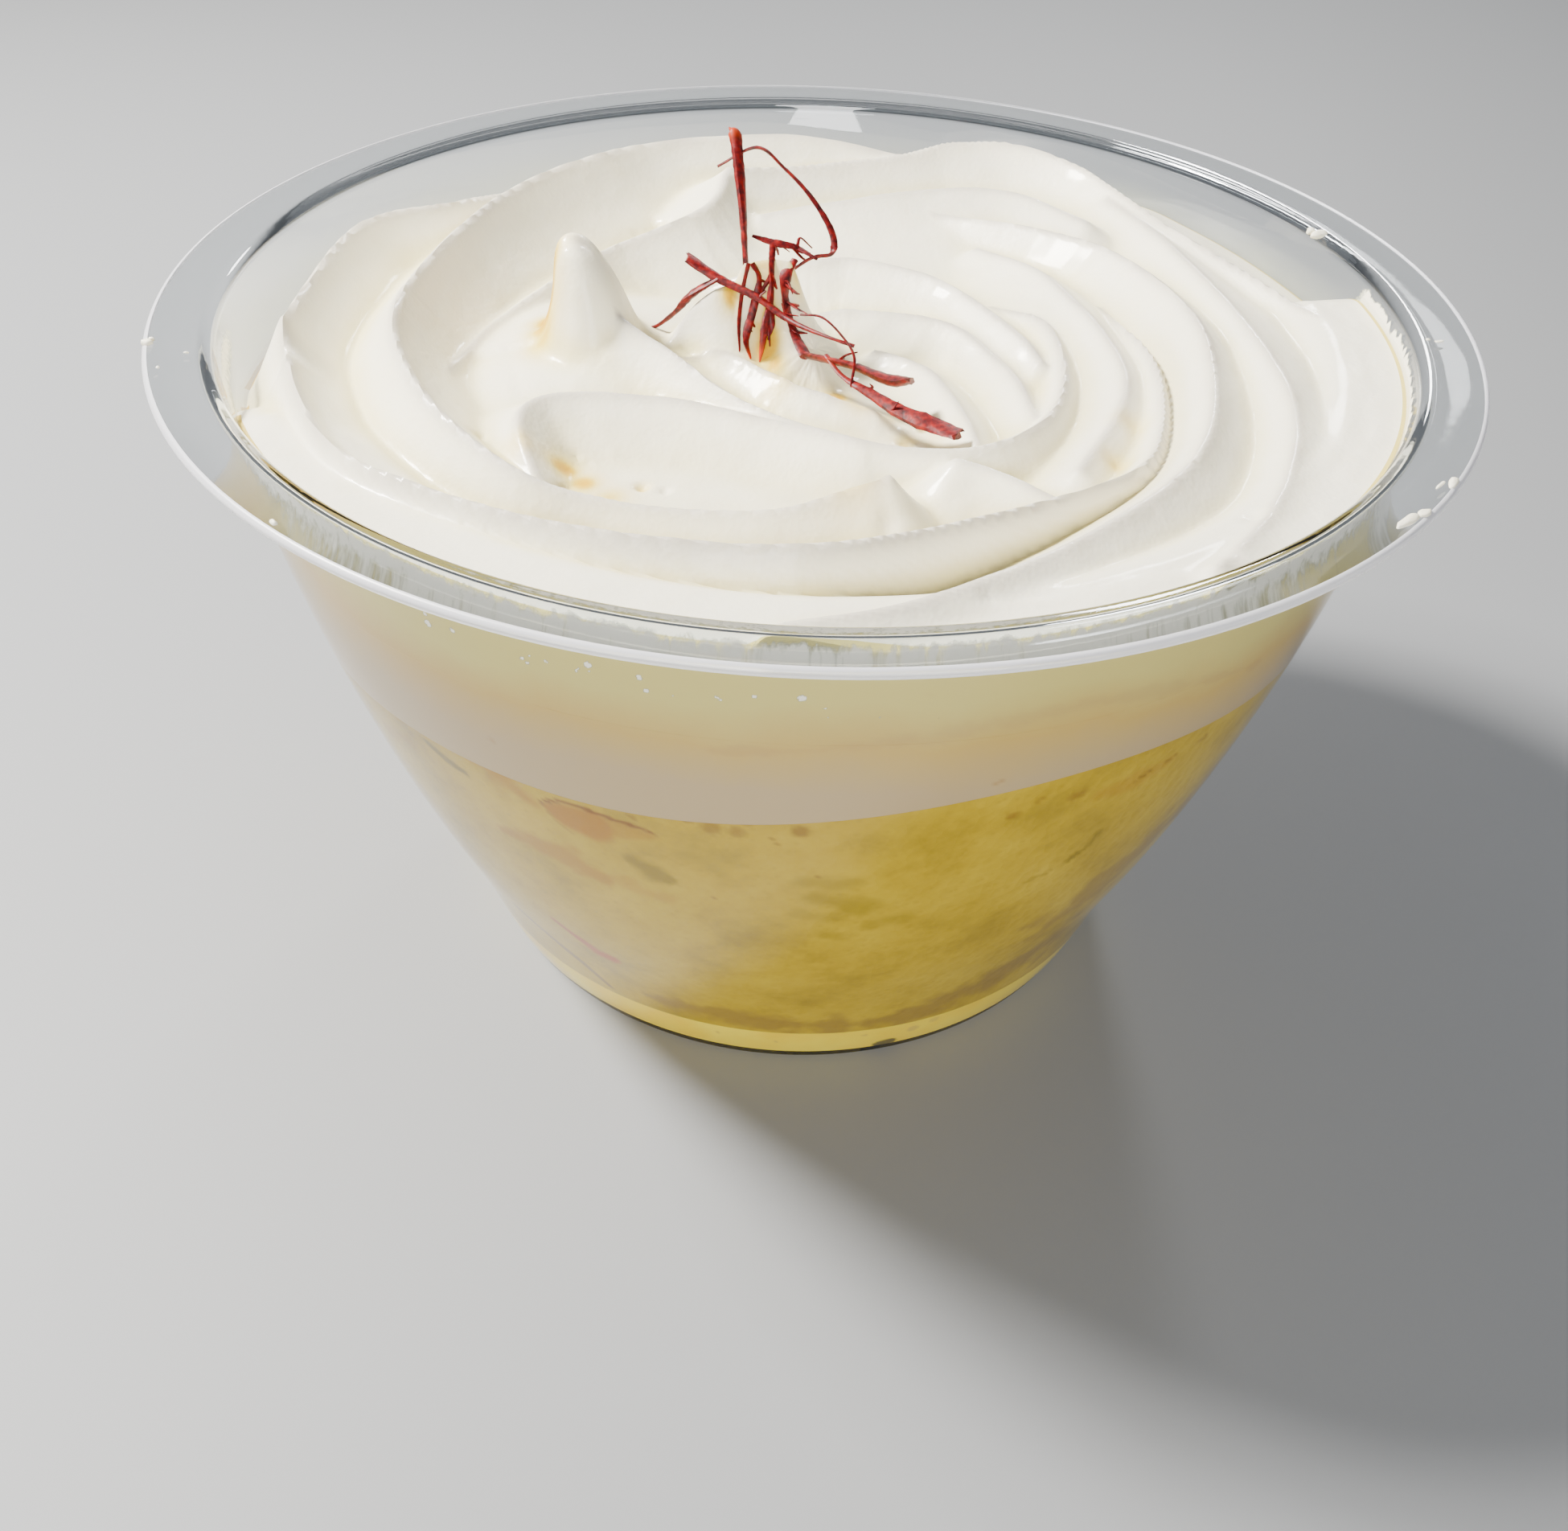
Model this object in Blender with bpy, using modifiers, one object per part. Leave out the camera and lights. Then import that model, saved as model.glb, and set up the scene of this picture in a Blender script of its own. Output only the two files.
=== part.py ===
"""Saffron milk cake in a clear dessert cup.

A clear bowl-shaped cup with a flat rim holds, from the bottom up, a little saffron milk,
a soaked sponge cake, a layer of whipped cream and a piped cream swirl with saffron strands.

Metres, +Z up. The origin is at the middle of the cup's foot, on the surface it stands on.
The swirl is a height field: every piped rib is a crest line with a flank on either side.
"""

from typing import NamedTuple

import bmesh
import bpy
import numpy as np

MM = 0.001
GAP = 0.3  # mm left between neighbours that touch

# --- cup, mm -------------------------------------------------------------------------------
CUP_HEIGHT = 65.0
RIM_RADIUS = 57.5
RIM_THICKNESS = 0.9
WALL_THICKNESS = 1.0
SHOULDER_RADIUS = 1.0  # where the wall turns into the rim
RIM_CORNER = 0.3  # bevel of the rim's upper edges
RIM_UNDER_CORNER = 0.2
NECK_CORNER = 0.5  # bevel where the outer wall meets the rim's underside
FOOT_RADIUS = 33.5
FOOT_CORNER = 0.5
FLOOR_THICKNESS = 1.2
RECESS_RADIUS = 29.5  # shallow hollow under the foot
RECESS_DEPTH = 0.4
WALL_HEIGHTS = (0.0, 3.0, 10.0, 20.0, 32.0, 46.0, 64.0)
WALL_RADII = (FOOT_RADIUS, 34.6, 37.0, 41.05, 45.2, 49.1, 52.6)
CUP_STEPS = 64

# --- food levels, mm -----------------------------------------------------------------------
MILK_LEVEL = 5.5
CAKE_LEVEL = 44.0
CREAM_LEVEL = 53.0
FOOD_STEPS = 48
SWIRL_STEPS = 72
SWIRL_RINGS = 34

# Waves of the layers' edges: (height in mm, waves per turn, phase in degrees).
CAKE_WAVES = ((2.6, 1, 20.0), (1.6, 2, -150.0), (0.8, 5, 40.0))
CREAM_WAVES = ((0.7, 1, 30.0), (0.5, 3, 80.0))

# --- cream swirl, mm -----------------------------------------------------------------------
BOWL_LEVEL = 56.5  # cream level between the ribs
BOWL_RADIUS = 36.0
SHELF_RADIUS = 47.0
SHELF_HIGH = 62.6  # where the cream fills the cup up to its rim
SHELF_LOW = 55.0  # where a gap is left between the ribs and the cup
SHELF_START = -176.0  # degrees, the stretch that the cream fills
SHELF_END = 8.0
SHELF_FADE_IN = 30.0
SHELF_FADE_OUT = 16.0
BLEND = 0.3  # softness where two flanks meet
CREST_FALL = 0.25  # how fast a flank still falls far from its crest
SIDE_SHARPNESS = 1.6  # how quickly the two flanks change over round a crest's end
SAMPLES_PER_KNOT = 6


class Flank(NamedTuple):
    """One side of a rib: how far it drops and how quickly, in mm."""

    drop: float
    reach: float


class Rib(NamedTuple):
    """A piped rib: its crest (x, y, z in mm), the flanks left and right of its run, and
    the crest's radius in mm."""

    crest: tuple
    left: Flank
    right: Flank
    rounding: float = 0.5


RIBS = {
    "outer_turn": Rib(
        ((-33, 34, 60), (-37.5, 23, 62.8), (-44.5, 15, 63.6), (-45.7, 0, 64), (-45, -11, 64),
         (-38, -27.5, 64), (-29, -35, 64), (-16, -40, 64), (-1, -41.2, 64), (8, -38, 63.7),
         (18.6, -30.8, 62.6), (26, -24.6, 62), (29, -17, 61.7), (30.2, -7, 61.5),
         (29.5, 1, 61), (27, 9.5, 60)),
        Flank(6, 5), Flank(8.5, 3.4)),
    "second_turn": Rib(
        ((8, 39.4, 63.6), (-2, 40.3, 65), (-15, 37.7, 65), (-23, 32.3, 65), (-31, 22.5, 64.7),
         (-36, 6, 64.2), (-36.8, -6.4, 63.6), (-32, -18, 62.8), (-24, -25.7, 60.8),
         (-16, -27.6, 59), (-4, -29.2, 59.3), (3.4, -27.6, 60.6), (6.6, -26.6, 61.2)),
        Flank(7, 6), Flank(6, 5)),
    "back_turn": Rib(
        ((46.2, 4, 62.3), (42, 12, 62.6), (35, 23.7, 63), (28, 36, 64), (21, 41.3, 64.6),
         (14, 41.4, 64.5), (8, 38.8, 63.8), (-2, 35.1, 63.6), (-9.8, 32, 64.2)),
        Flank(4, 4), Flank(9, 4)),
    "inner_step": Rib(
        ((-9.8, 32, 64.2), (-11.8, 24.4, 62.8), (-21.4, 17.5, 60.5), (-28.7, 7.2, 59),
         (-32.3, -6, 58.8), (-31.1, -13, 58.4), (-27.8, -16, 57.5)),
        Flank(4, 4), Flank(3, 4)),
    "right_turn": Rib(
        ((-1.5, -51, 64), (8, -47.4, 64), (20, -37.6, 63.6), (30, -25.3, 63.5), (34, -10, 63.5),
         (33.7, 3.4, 63.5), (27.5, 17.2, 63.2), (16.5, 26, 62), (7, 31, 60)),
        Flank(5, 5), Flank(3, 5)),
    "right_edge": Rib(
        ((29, -41.5, 63.5), (35.7, -30.2, 63.2), (39.8, -16, 63.2), (39, 0, 63.1),
         (34.4, 20, 62.8), (30, 31, 62.6)),
        Flank(2.5, 4), Flank(1.2, 6)),
    "horn": Rib(
        ((-21, 0.2, 68.9), (-20.8, -0.8, 68.5)),
        Flank(8, 4), Flank(8, 2), 1.7),
    "back_rib": Rib(
        ((-6, 27.5, 61), (2, 29, 62.2), (12, 31.5, 62.9), (20, 31, 63), (27, 25, 62.6)),
        Flank(1.5, 2.5), Flank(1.5, 2.5), 0.8),
    "hook": Rib(
        ((-18, -2.5, 63.2), (-13, -5.6, 61.4), (-6.6, -11.3, 60), (2.4, -17.2, 59.8),
         (12.7, -19.1, 60.2), (19.4, -14.3, 60.4), (22.3, -5, 60.4), (21.5, 5.5, 60.3),
         (17, 11.5, 59)),
        Flank(4, 3.5), Flank(5, 5)),
    "petal": Rib(
        ((-18.5, -24.6, 56.6), (-21.6, -24.2, 58.4), (-24.3, -17.5, 60.4), (-21.9, -13.3, 60.6),
         (-13.3, -12.7, 60.4), (-4.9, -14.7, 60), (4.5, -18.2, 59.7)),
        Flank(2.5, 3.5), Flank(5, 7)),
    "fold": Rib(
        ((12, -21.8, 60.6), (15, -22.8, 60.2), (20.5, -26.4, 59.5)),
        Flank(3, 2.6), Flank(3, 3), 1.1),
    "leaf": Rib(
        ((-13.1, -1.3, 58), (-8.1, -1.2, 59), (-1.4, -6.5, 58.8), (5.6, -9.3, 58)),
        Flank(2.5, 3), Flank(3, 4)),
    "eye_rib": Rib(
        ((-14.4, -0.4, 57.8), (-12.9, 1, 59.6), (-12.1, 1.6, 60.9), (-10.9, 2, 62.3),
         (-9.4, 2.2, 63.5), (-8.2, 2.4, 63.9)),
        Flank(4, 3), Flank(5.5, 2.2), 1.0),
    "peak": Rib(
        ((-6.6, 3, 65.8), (-4.4, 3.2, 66.1), (-2.6, 2.8, 66.2)),
        Flank(8, 2), Flank(9, 3), 0.6),
    "inner_turn": Rib(
        ((-11, 16.6, 57.5), (-6.5, 16.2, 59.5), (-1, 15.8, 60.9), (4, 16, 61.4),
         (11.9, 11.8, 61.3), (18.3, 2.4, 60.8), (20.5, -2, 60)),
        Flank(2.5, 3.5), Flank(2.5, 3)),
    "third_turn": Rib(
        ((-4, 7, 57.2), (-0.5, 8, 58.8), (4.4, 8.3, 59.6), (12.5, 5.4, 59.8), (17.4, -2.4, 59.4),
         (19.4, -10.9, 59)),
        Flank(2, 3), Flank(2.2, 3)),
    "eye_turn": Rib(
        ((5.7, 3, 58), (10.3, -1.8, 58.8), (13.1, -10.5, 58.8), (14.1, -14.9, 58.4)),
        Flank(1.8, 3), Flank(2, 2.5)),
    "right_rib": Rib(
        ((16, 22, 60.5), (22, 13.7, 61.6), (26.7, 0, 61.3), (26.8, -10.4, 61.2), (22, -21.5, 60)),
        Flank(1.5, 3), Flank(2, 3)),
}


# --- saffron strands, mm -------------------------------------------------------------------
STRAND_POINTS = 4  # points between two knots
STRAND_MIN_RADIUS = 0.28


class Strand(NamedTuple):
    """A saffron strand: its run (x, y, z, radius in mm), and whether it ends in a mouth."""

    run: tuple
    mouth: bool = False


STRANDS = {
    "upright": Strand(((-6.5, 3, 65, 0.3), (-7, 5.5, 69.5, 0.4), (-7.5, 8, 72.5, 0.45),
                       (-8, 10, 75, 0.5), (-8.5, 10.5, 75.4, 0.3)), True),
    "arch": Strand(((-9.5, 8.5, 72.5, 0.15), (-6, 9.5, 74, 0.2), (-3.5, 8.8, 72.5, 0.2),
                    (-1, 7.5, 70.5, 0.25), (1, 6, 68, 0.3), (1.2, 5, 66.3, 0.25),
                    (-1, 4.2, 65.9, 0.2), (-5, 2, 63.5, 0.15))),
    "slanting": Strand(((3.5, -4.5, 61.8, 0.2), (1.5, -4, 62.2, 0.15), (-1, -2, 62.2, 0.2),
                        (-3, 0, 62.3, 0.25), (-5.5, 1.2, 63.5, 0.3), (-9, 2.6, 64.5, 0.35),
                        (-12, 3.6, 66, 0.6)), True),
    "left_limb": Strand(((-16.5, 3.6, 59.2, 0.1), (-15, 3.2, 59.3, 0.2), (-13, 2.9, 61, 0.3),
                         (-11.5, 2.7, 62.8, 0.45), (-9, 2.6, 64.5, 0.3))),
    "stem_a": Strand(((-6.3, 2.7, 66, 0.2), (-6.8, 1.8, 63.5, 0.2), (-7, 0.3, 61, 0.2),
                      (-6.8, -1, 58.7, 0.12))),
    "stem_b": Strand(((-6, 2.7, 66, 0.3), (-5.3, 2.2, 64.7, 0.25), (-5.8, 1, 62, 0.3),
                      (-6.3, -0.3, 60, 0.3), (-5.8, -1.1, 58.5, 0.15))),
    "stem_c": Strand(((-4.2, 4.5, 67.1, 0.28), (-4.2, 2.5, 65.7, 0.3), (-4.2, 1.2, 63, 0.35),
                      (-4.7, -0.3, 60.5, 0.45), (-5, -1.2, 58.3, 0.1))),
    "stem_d": Strand(((-2.1, 3.4, 66.2, 0.25), (-2.9, 2, 65, 0.45), (-2.8, 1.1, 63, 0.4),
                      (-1.9, -0.2, 60.7, 0.4), (-0.8, -2.4, 59.6, 0.5))),
    "curl": Strand(((-1.4, -1.6, 63.2, 0.13), (0.5, -2.4, 63.4, 0.14), (2.3, -4, 62.5, 0.14),
                    (3.5, -6.2, 61.5, 0.15), (3.3, -8.4, 59.8, 0.12))),
    "fan": Strand(((-1, -2, 59.6, 0.4), (1.3, -4.4, 60.3, 0.4), (3.5, -6.2, 60.7, 0.45),
                   (6.5, -7.8, 60.3, 0.65), (8.5, -8.4, 60.6, 0.85)), True),
    "long_tail": Strand(((1, -4.2, 60.7, 0.18), (2.5, -6.8, 60, 0.2), (5, -9.6, 59.8, 0.4),
                         (8, -12.4, 59.4, 0.6), (12.4, -15, 59.1, 0.85)), True),
    "crown": Strand(((-6.1, 5, 67.6, 0.16), (-4.2, 4.6, 67.2, 0.3), (-2.2, 4.8, 66.8, 0.22),
                     (-0.9, 5.2, 66, 0.15))),
}


# --- surfaces ------------------------------------------------------------------------------
def inner_radius(z):
    """Radius of the cup's inner wall at a height, both in mm."""
    return np.interp(z, WALL_HEIGHTS, WALL_RADII) - WALL_THICKNESS


def smoothstep(t):
    """0 below 0, 1 above 1, and a smooth rise between."""
    t = np.clip(t, 0.0, 1.0)
    return t * t * (3.0 - 2.0 * t)


def waves(x, y, level, terms):
    """Height of a layer's edge at (x, y): its level with waves that fade to the middle."""
    angle = np.arctan2(y, x)
    reach = np.hypot(x, y) / inner_radius(level)
    total = np.full_like(reach, level)
    for height, count, phase in terms:
        total += height * reach**2 * np.cos(count * angle - np.radians(phase))
    return total


def spline(knots, samples):
    """Points on a Catmull-Rom curve through the knots."""
    knots = np.asarray(knots, dtype=float)
    padded = np.vstack([2 * knots[0] - knots[1], knots, 2 * knots[-1] - knots[-2]])
    steps = np.linspace(0.0, 1.0, samples, endpoint=False)[:, None]
    pieces = []
    for a, b, c, d in zip(padded, padded[1:], padded[2:], padded[3:]):
        slope = (c - a) * steps
        bend = (2 * a - 5 * b + 4 * c - d) * steps**2
        twist = (3 * b - a - 3 * c + d) * steps**3
        pieces.append(b + 0.5 * (slope + bend + twist))
    return np.vstack(pieces + [knots[-1:]])


def rib_height(x, y, rib):
    """Height that one rib gives each point: its crest less the fall of the flank there."""
    crest = spline(rib.crest, SAMPLES_PER_KNOT)
    nearest = np.full(x.shape, np.inf)
    top = np.zeros(x.shape)
    leftness = np.zeros(x.shape)
    for start, end in zip(crest, crest[1:]):
        run = end[:2] - start[:2]
        dx, dy = x - start[0], y - start[1]
        along = np.clip((dx * run[0] + dy * run[1]) / run.dot(run), 0.0, 1.0)
        off_x, off_y = dx - along * run[0], dy - along * run[1]
        distance = np.hypot(off_x, off_y)
        closer = distance < nearest
        nearest[closer] = distance[closer]
        top[closer] = (start[2] + along * (end[2] - start[2]))[closer]
        cross = (run[0] * dy - run[1] * dx) / np.hypot(*run)
        leftness[closer] = (cross / np.maximum(distance, 1e-6))[closer]
    left = 0.5 + 0.5 * np.clip(SIDE_SHARPNESS * leftness, -1.0, 1.0)
    drop = rib.right.drop + left * (rib.left.drop - rib.right.drop)
    reach = rib.right.reach + left * (rib.left.reach - rib.right.reach)
    rounded = np.hypot(nearest, rib.rounding) - rib.rounding
    return top - drop * (1.0 - np.exp(-rounded / reach)) - CREST_FALL * nearest


def bowl_height(x, y):
    """Cream between the ribs: a shallow bowl that climbs to a shelf along the cup."""
    angle = np.degrees(np.arctan2(y, x))
    filled = (smoothstep((angle - SHELF_START) / SHELF_FADE_IN)
              * smoothstep((SHELF_END - angle) / SHELF_FADE_OUT + 1))
    shelf = SHELF_LOW + (SHELF_HIGH - SHELF_LOW) * filled
    climb = smoothstep((np.hypot(x, y) - BOWL_RADIUS) / (SHELF_RADIUS - BOWL_RADIUS))
    return BOWL_LEVEL + (shelf - BOWL_LEVEL) * climb


def swirl_height(x, y):
    """Height of the cream swirl: the highest rib or bowl, blended softly where they meet."""
    total = np.exp((bowl_height(x, y) - CUP_HEIGHT) / BLEND)
    for rib in RIBS.values():
        total += np.exp((rib_height(x, y, rib) - CUP_HEIGHT) / BLEND)
    return CUP_HEIGHT + BLEND * np.log(total)


def milk_top(x, y):
    """Level of the milk in the foot."""
    return np.full_like(x, MILK_LEVEL)


def cake_top(x, y):
    """Uneven top of the sponge."""
    return waves(x, y, CAKE_LEVEL, CAKE_WAVES)


def cream_top(x, y):
    """Top of the cream layer, on which the swirl is piped."""
    return waves(x, y, CREAM_LEVEL, CREAM_WAVES)


def raised(surface, lift):
    """The same surface, lifted by some mm."""
    return lambda x, y: surface(x, y) + lift


# --- building ------------------------------------------------------------------------------
def clear_scene():
    """Remove what the scene holds."""
    for obj in list(bpy.data.objects):
        bpy.data.objects.remove(obj, do_unlink=True)


def new_collection(name):
    """A collection under the scene's own."""
    group = bpy.data.collections.new(name)
    bpy.context.scene.collection.children.link(group)
    return group


def new_material(name, color, roughness, alpha=1.0, transmission=0.0):
    """A Principled material."""
    material = bpy.data.materials.new(name)
    material.use_nodes = True
    shader = material.node_tree.nodes["Principled BSDF"]
    shader.inputs["Base Color"].default_value = (*color, 1.0)
    shader.inputs["Roughness"].default_value = roughness
    shader.inputs["Metallic"].default_value = 0.0
    shader.inputs["Alpha"].default_value = alpha
    shader.inputs["Transmission Weight"].default_value = transmission
    return material


def turned(name, group, profile, steps, scale=MM):
    """A solid of revolution: a profile in the XZ plane with a Screw modifier."""
    mesh = bpy.data.meshes.new(name)
    points = [(r * scale, 0.0, z * scale) for r, z in profile]
    mesh.from_pydata(points, [(i, i + 1) for i in range(len(points) - 1)], [])
    obj = bpy.data.objects.new(name, mesh)
    group.objects.link(obj)
    screw = obj.modifiers.new("turn", "SCREW")
    screw.steps = screw.render_steps = steps
    screw.use_merge_vertices = True
    screw.merge_threshold = 0.00001
    screw.use_smooth_shade = True
    return obj


def apply_modifiers(obj):
    """Replace an object's mesh by the one its modifiers make."""
    graph = bpy.context.evaluated_depsgraph_get()
    mesh = bpy.data.meshes.new_from_object(obj.evaluated_get(graph))
    obj.modifiers.clear()
    obj.data = mesh


def arc(center, radius, start, end, count):
    """Points on an arc, angles in degrees."""
    angles = np.radians(np.linspace(start, end, count))
    return [(center[0] + radius * np.cos(a), center[1] + radius * np.sin(a)) for a in angles]


def make_cup(group):
    """The clear cup: rim, curved wall, foot and floor in one turned shell."""
    under = CUP_HEIGHT - RIM_THICKNESS
    wall = list(zip(WALL_RADII, WALL_HEIGHTS))
    neck_radius = WALL_RADII[-1]
    profile = [(neck_radius + SHOULDER_RADIUS, CUP_HEIGHT), (RIM_RADIUS - RIM_CORNER, CUP_HEIGHT),
               (RIM_RADIUS, CUP_HEIGHT - RIM_CORNER), (RIM_RADIUS, under + RIM_UNDER_CORNER),
               (RIM_RADIUS - RIM_UNDER_CORNER, under), (neck_radius + NECK_CORNER, under)]
    profile += [(r, z) for r, z in reversed(wall[1:]) if z < under]
    profile += arc((FOOT_RADIUS - FOOT_CORNER, FOOT_CORNER), FOOT_CORNER, 0, -90, 3)
    profile += [(RECESS_RADIUS, 0.0), (RECESS_RADIUS - RECESS_DEPTH, RECESS_DEPTH),
                (0.0, RECESS_DEPTH), (0.0, FLOOR_THICKNESS)]
    profile += [(inner_radius(z), z) for z in (FLOOR_THICKNESS, *WALL_HEIGHTS[1:])]
    profile += [(neck_radius + RIM_CORNER, CUP_HEIGHT - RIM_CORNER), profile[0]]
    cup = turned("cup", group, profile, CUP_STEPS)
    cup.data.materials.append(new_material("clear_plastic", (0.9, 0.93, 0.95), 0.08, 0.35, 0.9))
    return cup


def unit_plug(name, group, rings, steps):
    """A turned plug of radius 1 and height 1, with so many rings on top, side and bottom."""
    top_rings, side_rings, bottom_rings = rings
    profile = [(u, 1.0) for u in np.linspace(0, 1, top_rings + 1)]
    profile += [(1.0, 1.0 - u) for u in np.linspace(0, 1, side_rings + 1)[1:]]
    profile += [(u, 0.0) for u in np.linspace(1, 0, bottom_rings + 1)[1:]]
    obj = turned(name, group, profile, steps, scale=1.0)
    apply_modifiers(obj)
    return obj


def clear_radius(angle, along, bottom, top):
    """Radius that keeps clear of the cup, at a share of the height between two surfaces."""
    radius = np.full_like(angle, inner_radius(CREAM_LEVEL))
    for _ in range(4):  # the radius depends on the height, which depends on the radius
        x, y = radius * np.cos(angle), radius * np.sin(angle)
        low = bottom(x, y)
        radius = inner_radius(low + (top(x, y) - low) * along) - GAP
    return radius


def crest_shift(radius, angle, span, surface):
    """How far to move points along their radius, within half a ring, to sit on a crest."""
    offsets = np.linspace(-0.5, 0.5, 9)[:, None] * span
    reach = radius + offsets
    heights = np.array([surface(r * np.cos(angle), r * np.sin(angle)) for r in reach])
    best = heights.argmax(axis=0)
    on_crest = (best > 0) & (best < len(offsets) - 1)
    return np.where(on_crest, np.take_along_axis(offsets, best[None], axis=0)[0], 0.0)


def make_layer(name, group, bottom, top, rings, steps, crests=False):
    """A plug of food that fills the cup between two surfaces.

    The points of a turned plug of unit size are moved: a point's height between the plug's
    ends picks its place between the surfaces, and its radius is a share of the cup's.
    With crests, the top's points slide onto the crest lines nearest to them.
    """
    obj = unit_plug(name, group, rings, steps)
    co = np.empty(len(obj.data.vertices) * 3)
    obj.data.vertices.foreach_get("co", co)
    unit = co.reshape(-1, 3)
    share = np.minimum(np.hypot(unit[:, 0], unit[:, 1]), 1.0)
    angle = np.arctan2(unit[:, 1], unit[:, 0])
    along = unit[:, 2]
    full = clear_radius(angle, along, bottom, top)
    radius = share * full
    if crests:
        span = full / rings[0]
        inside = (along > 0.999) & (share > 0.5 / rings[0]) & (share < 1.0 - 0.5 / rings[0])
        radius[inside] += crest_shift(radius[inside], angle[inside], span[inside], top)
    x, y = radius * np.cos(angle), radius * np.sin(angle)
    low = bottom(x, y)
    height = low + (top(x, y) - low) * along
    obj.data.vertices.foreach_set("co", (np.column_stack([x, y, height]) * MM).ravel())
    if crests:
        fold_along_crests(obj.data, top)
    obj.data.shade_smooth()
    return obj


def fold_along_crests(mesh, surface):
    """Split each quad along the diagonal that keeps nearer to the surface."""
    shape = bmesh.new()
    shape.from_mesh(mesh)
    quads = [face for face in shape.faces if len(face.verts) == 4]
    middles = np.array([face.calc_center_median() for face in quads]) / MM
    heights = surface(middles[:, 0], middles[:, 1])
    for face, height in zip(quads, heights):
        a, b, c, d = face.verts
        first = abs((a.co.z + c.co.z) / (2 * MM) - height)
        second = abs((b.co.z + d.co.z) / (2 * MM) - height)
        bmesh.utils.face_split(face, *((a, c) if first < second else (b, d)))
    shape.to_mesh(mesh)
    shape.free()


def make_strand(name, group, strand):
    """A strand as a closed tube; a mouth is left as the wide end that its run gives."""
    points = spline(strand.run, STRAND_POINTS)
    curve = bpy.data.curves.new(name, "CURVE")
    curve.dimensions = "3D"
    curve.bevel_depth = MM
    curve.bevel_resolution = 0
    curve.use_fill_caps = True
    run = curve.splines.new("POLY")
    run.points.add(len(points) - 1)
    for point, (x, y, z, radius) in zip(run.points, points):
        point.co = (x * MM, y * MM, z * MM, 1.0)
        point.radius = max(radius, STRAND_MIN_RADIUS)
    carrier = bpy.data.objects.new(name + "_curve", curve)
    group.objects.link(carrier)
    graph = bpy.context.evaluated_depsgraph_get()
    mesh = bpy.data.meshes.new_from_object(carrier.evaluated_get(graph))
    bpy.data.objects.remove(carrier, do_unlink=True)
    weld(mesh)
    obj = bpy.data.objects.new(name, mesh)
    group.objects.link(obj)
    return obj


def weld(mesh):
    """Join a tube to its caps."""
    shape = bmesh.new()
    shape.from_mesh(mesh)
    bmesh.ops.remove_doubles(shape, verts=shape.verts, dist=0.00001)
    bmesh.ops.recalc_face_normals(shape, faces=shape.faces)
    shape.to_mesh(mesh)
    shape.free()


def fuse(body, pieces, solver):
    """Join a collection of pieces to a body in one union, and remove the pieces."""
    union = body.modifiers.new("fuse", "BOOLEAN")
    union.operation = "UNION"
    union.operand_type = "COLLECTION"
    union.collection = pieces
    union.solver = solver
    apply_modifiers(body)
    for obj in list(pieces.objects):
        bpy.data.objects.remove(obj, do_unlink=True)
    bpy.data.collections.remove(pieces)


def main():
    """Build the cup and what fills it."""
    clear_scene()
    group = new_collection("milk_cake")
    make_cup(group)

    milk = make_layer("saffron_milk", group,
                      lambda x, y: np.full_like(x, FLOOR_THICKNESS + GAP),
                      milk_top, (3, 1, 3), FOOD_STEPS)
    milk.data.materials.append(new_material("milk", (0.93, 0.80, 0.36), 0.25))

    cake = make_layer("sponge_cake", group, raised(milk_top, GAP), cake_top,
                      (4, 6, 3), FOOD_STEPS)
    cake.data.materials.append(new_material("sponge", (0.72, 0.57, 0.20), 0.6))

    layer = make_layer("cream_layer", group, raised(cake_top, GAP), cream_top,
                       (4, 2, 4), FOOD_STEPS)
    layer.data.materials.append(new_material("cream", (0.90, 0.84, 0.72), 0.45))

    swirl = make_layer("cream_swirl", group, raised(cream_top, GAP), swirl_height,
                       (SWIRL_RINGS, 2, 4), SWIRL_STEPS, crests=True)
    swirl.data.materials.append(new_material("piped_cream", (0.94, 0.90, 0.80), 0.45))
    strands = new_collection("strands")
    for name, strand in STRANDS.items():
        make_strand(name, strands, strand)
    fuse(swirl, strands, "EXACT")
    swirl.data.shade_smooth()


main()
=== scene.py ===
"""Looks of a saffron milk cake in a clear dessert cup.

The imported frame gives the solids. This script dresses them: a finely turned clear cup, milk,
sponge and cream that reach just into its wall, a fine piped swirl, saffron strands, the film
of cream on the wall, and a plain studio.

Sizes are in millimetres and are turned to metres where a mesh is written. Angles are in
degrees, counter-clockwise from +X seen from above, so that the front is at -90.
"""

from __future__ import annotations

import logging
import math
from dataclasses import dataclass, field
from enum import Enum
from typing import Callable, NamedTuple, Sequence

import bpy
import numpy as np
from mathutils import Matrix, Vector

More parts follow.
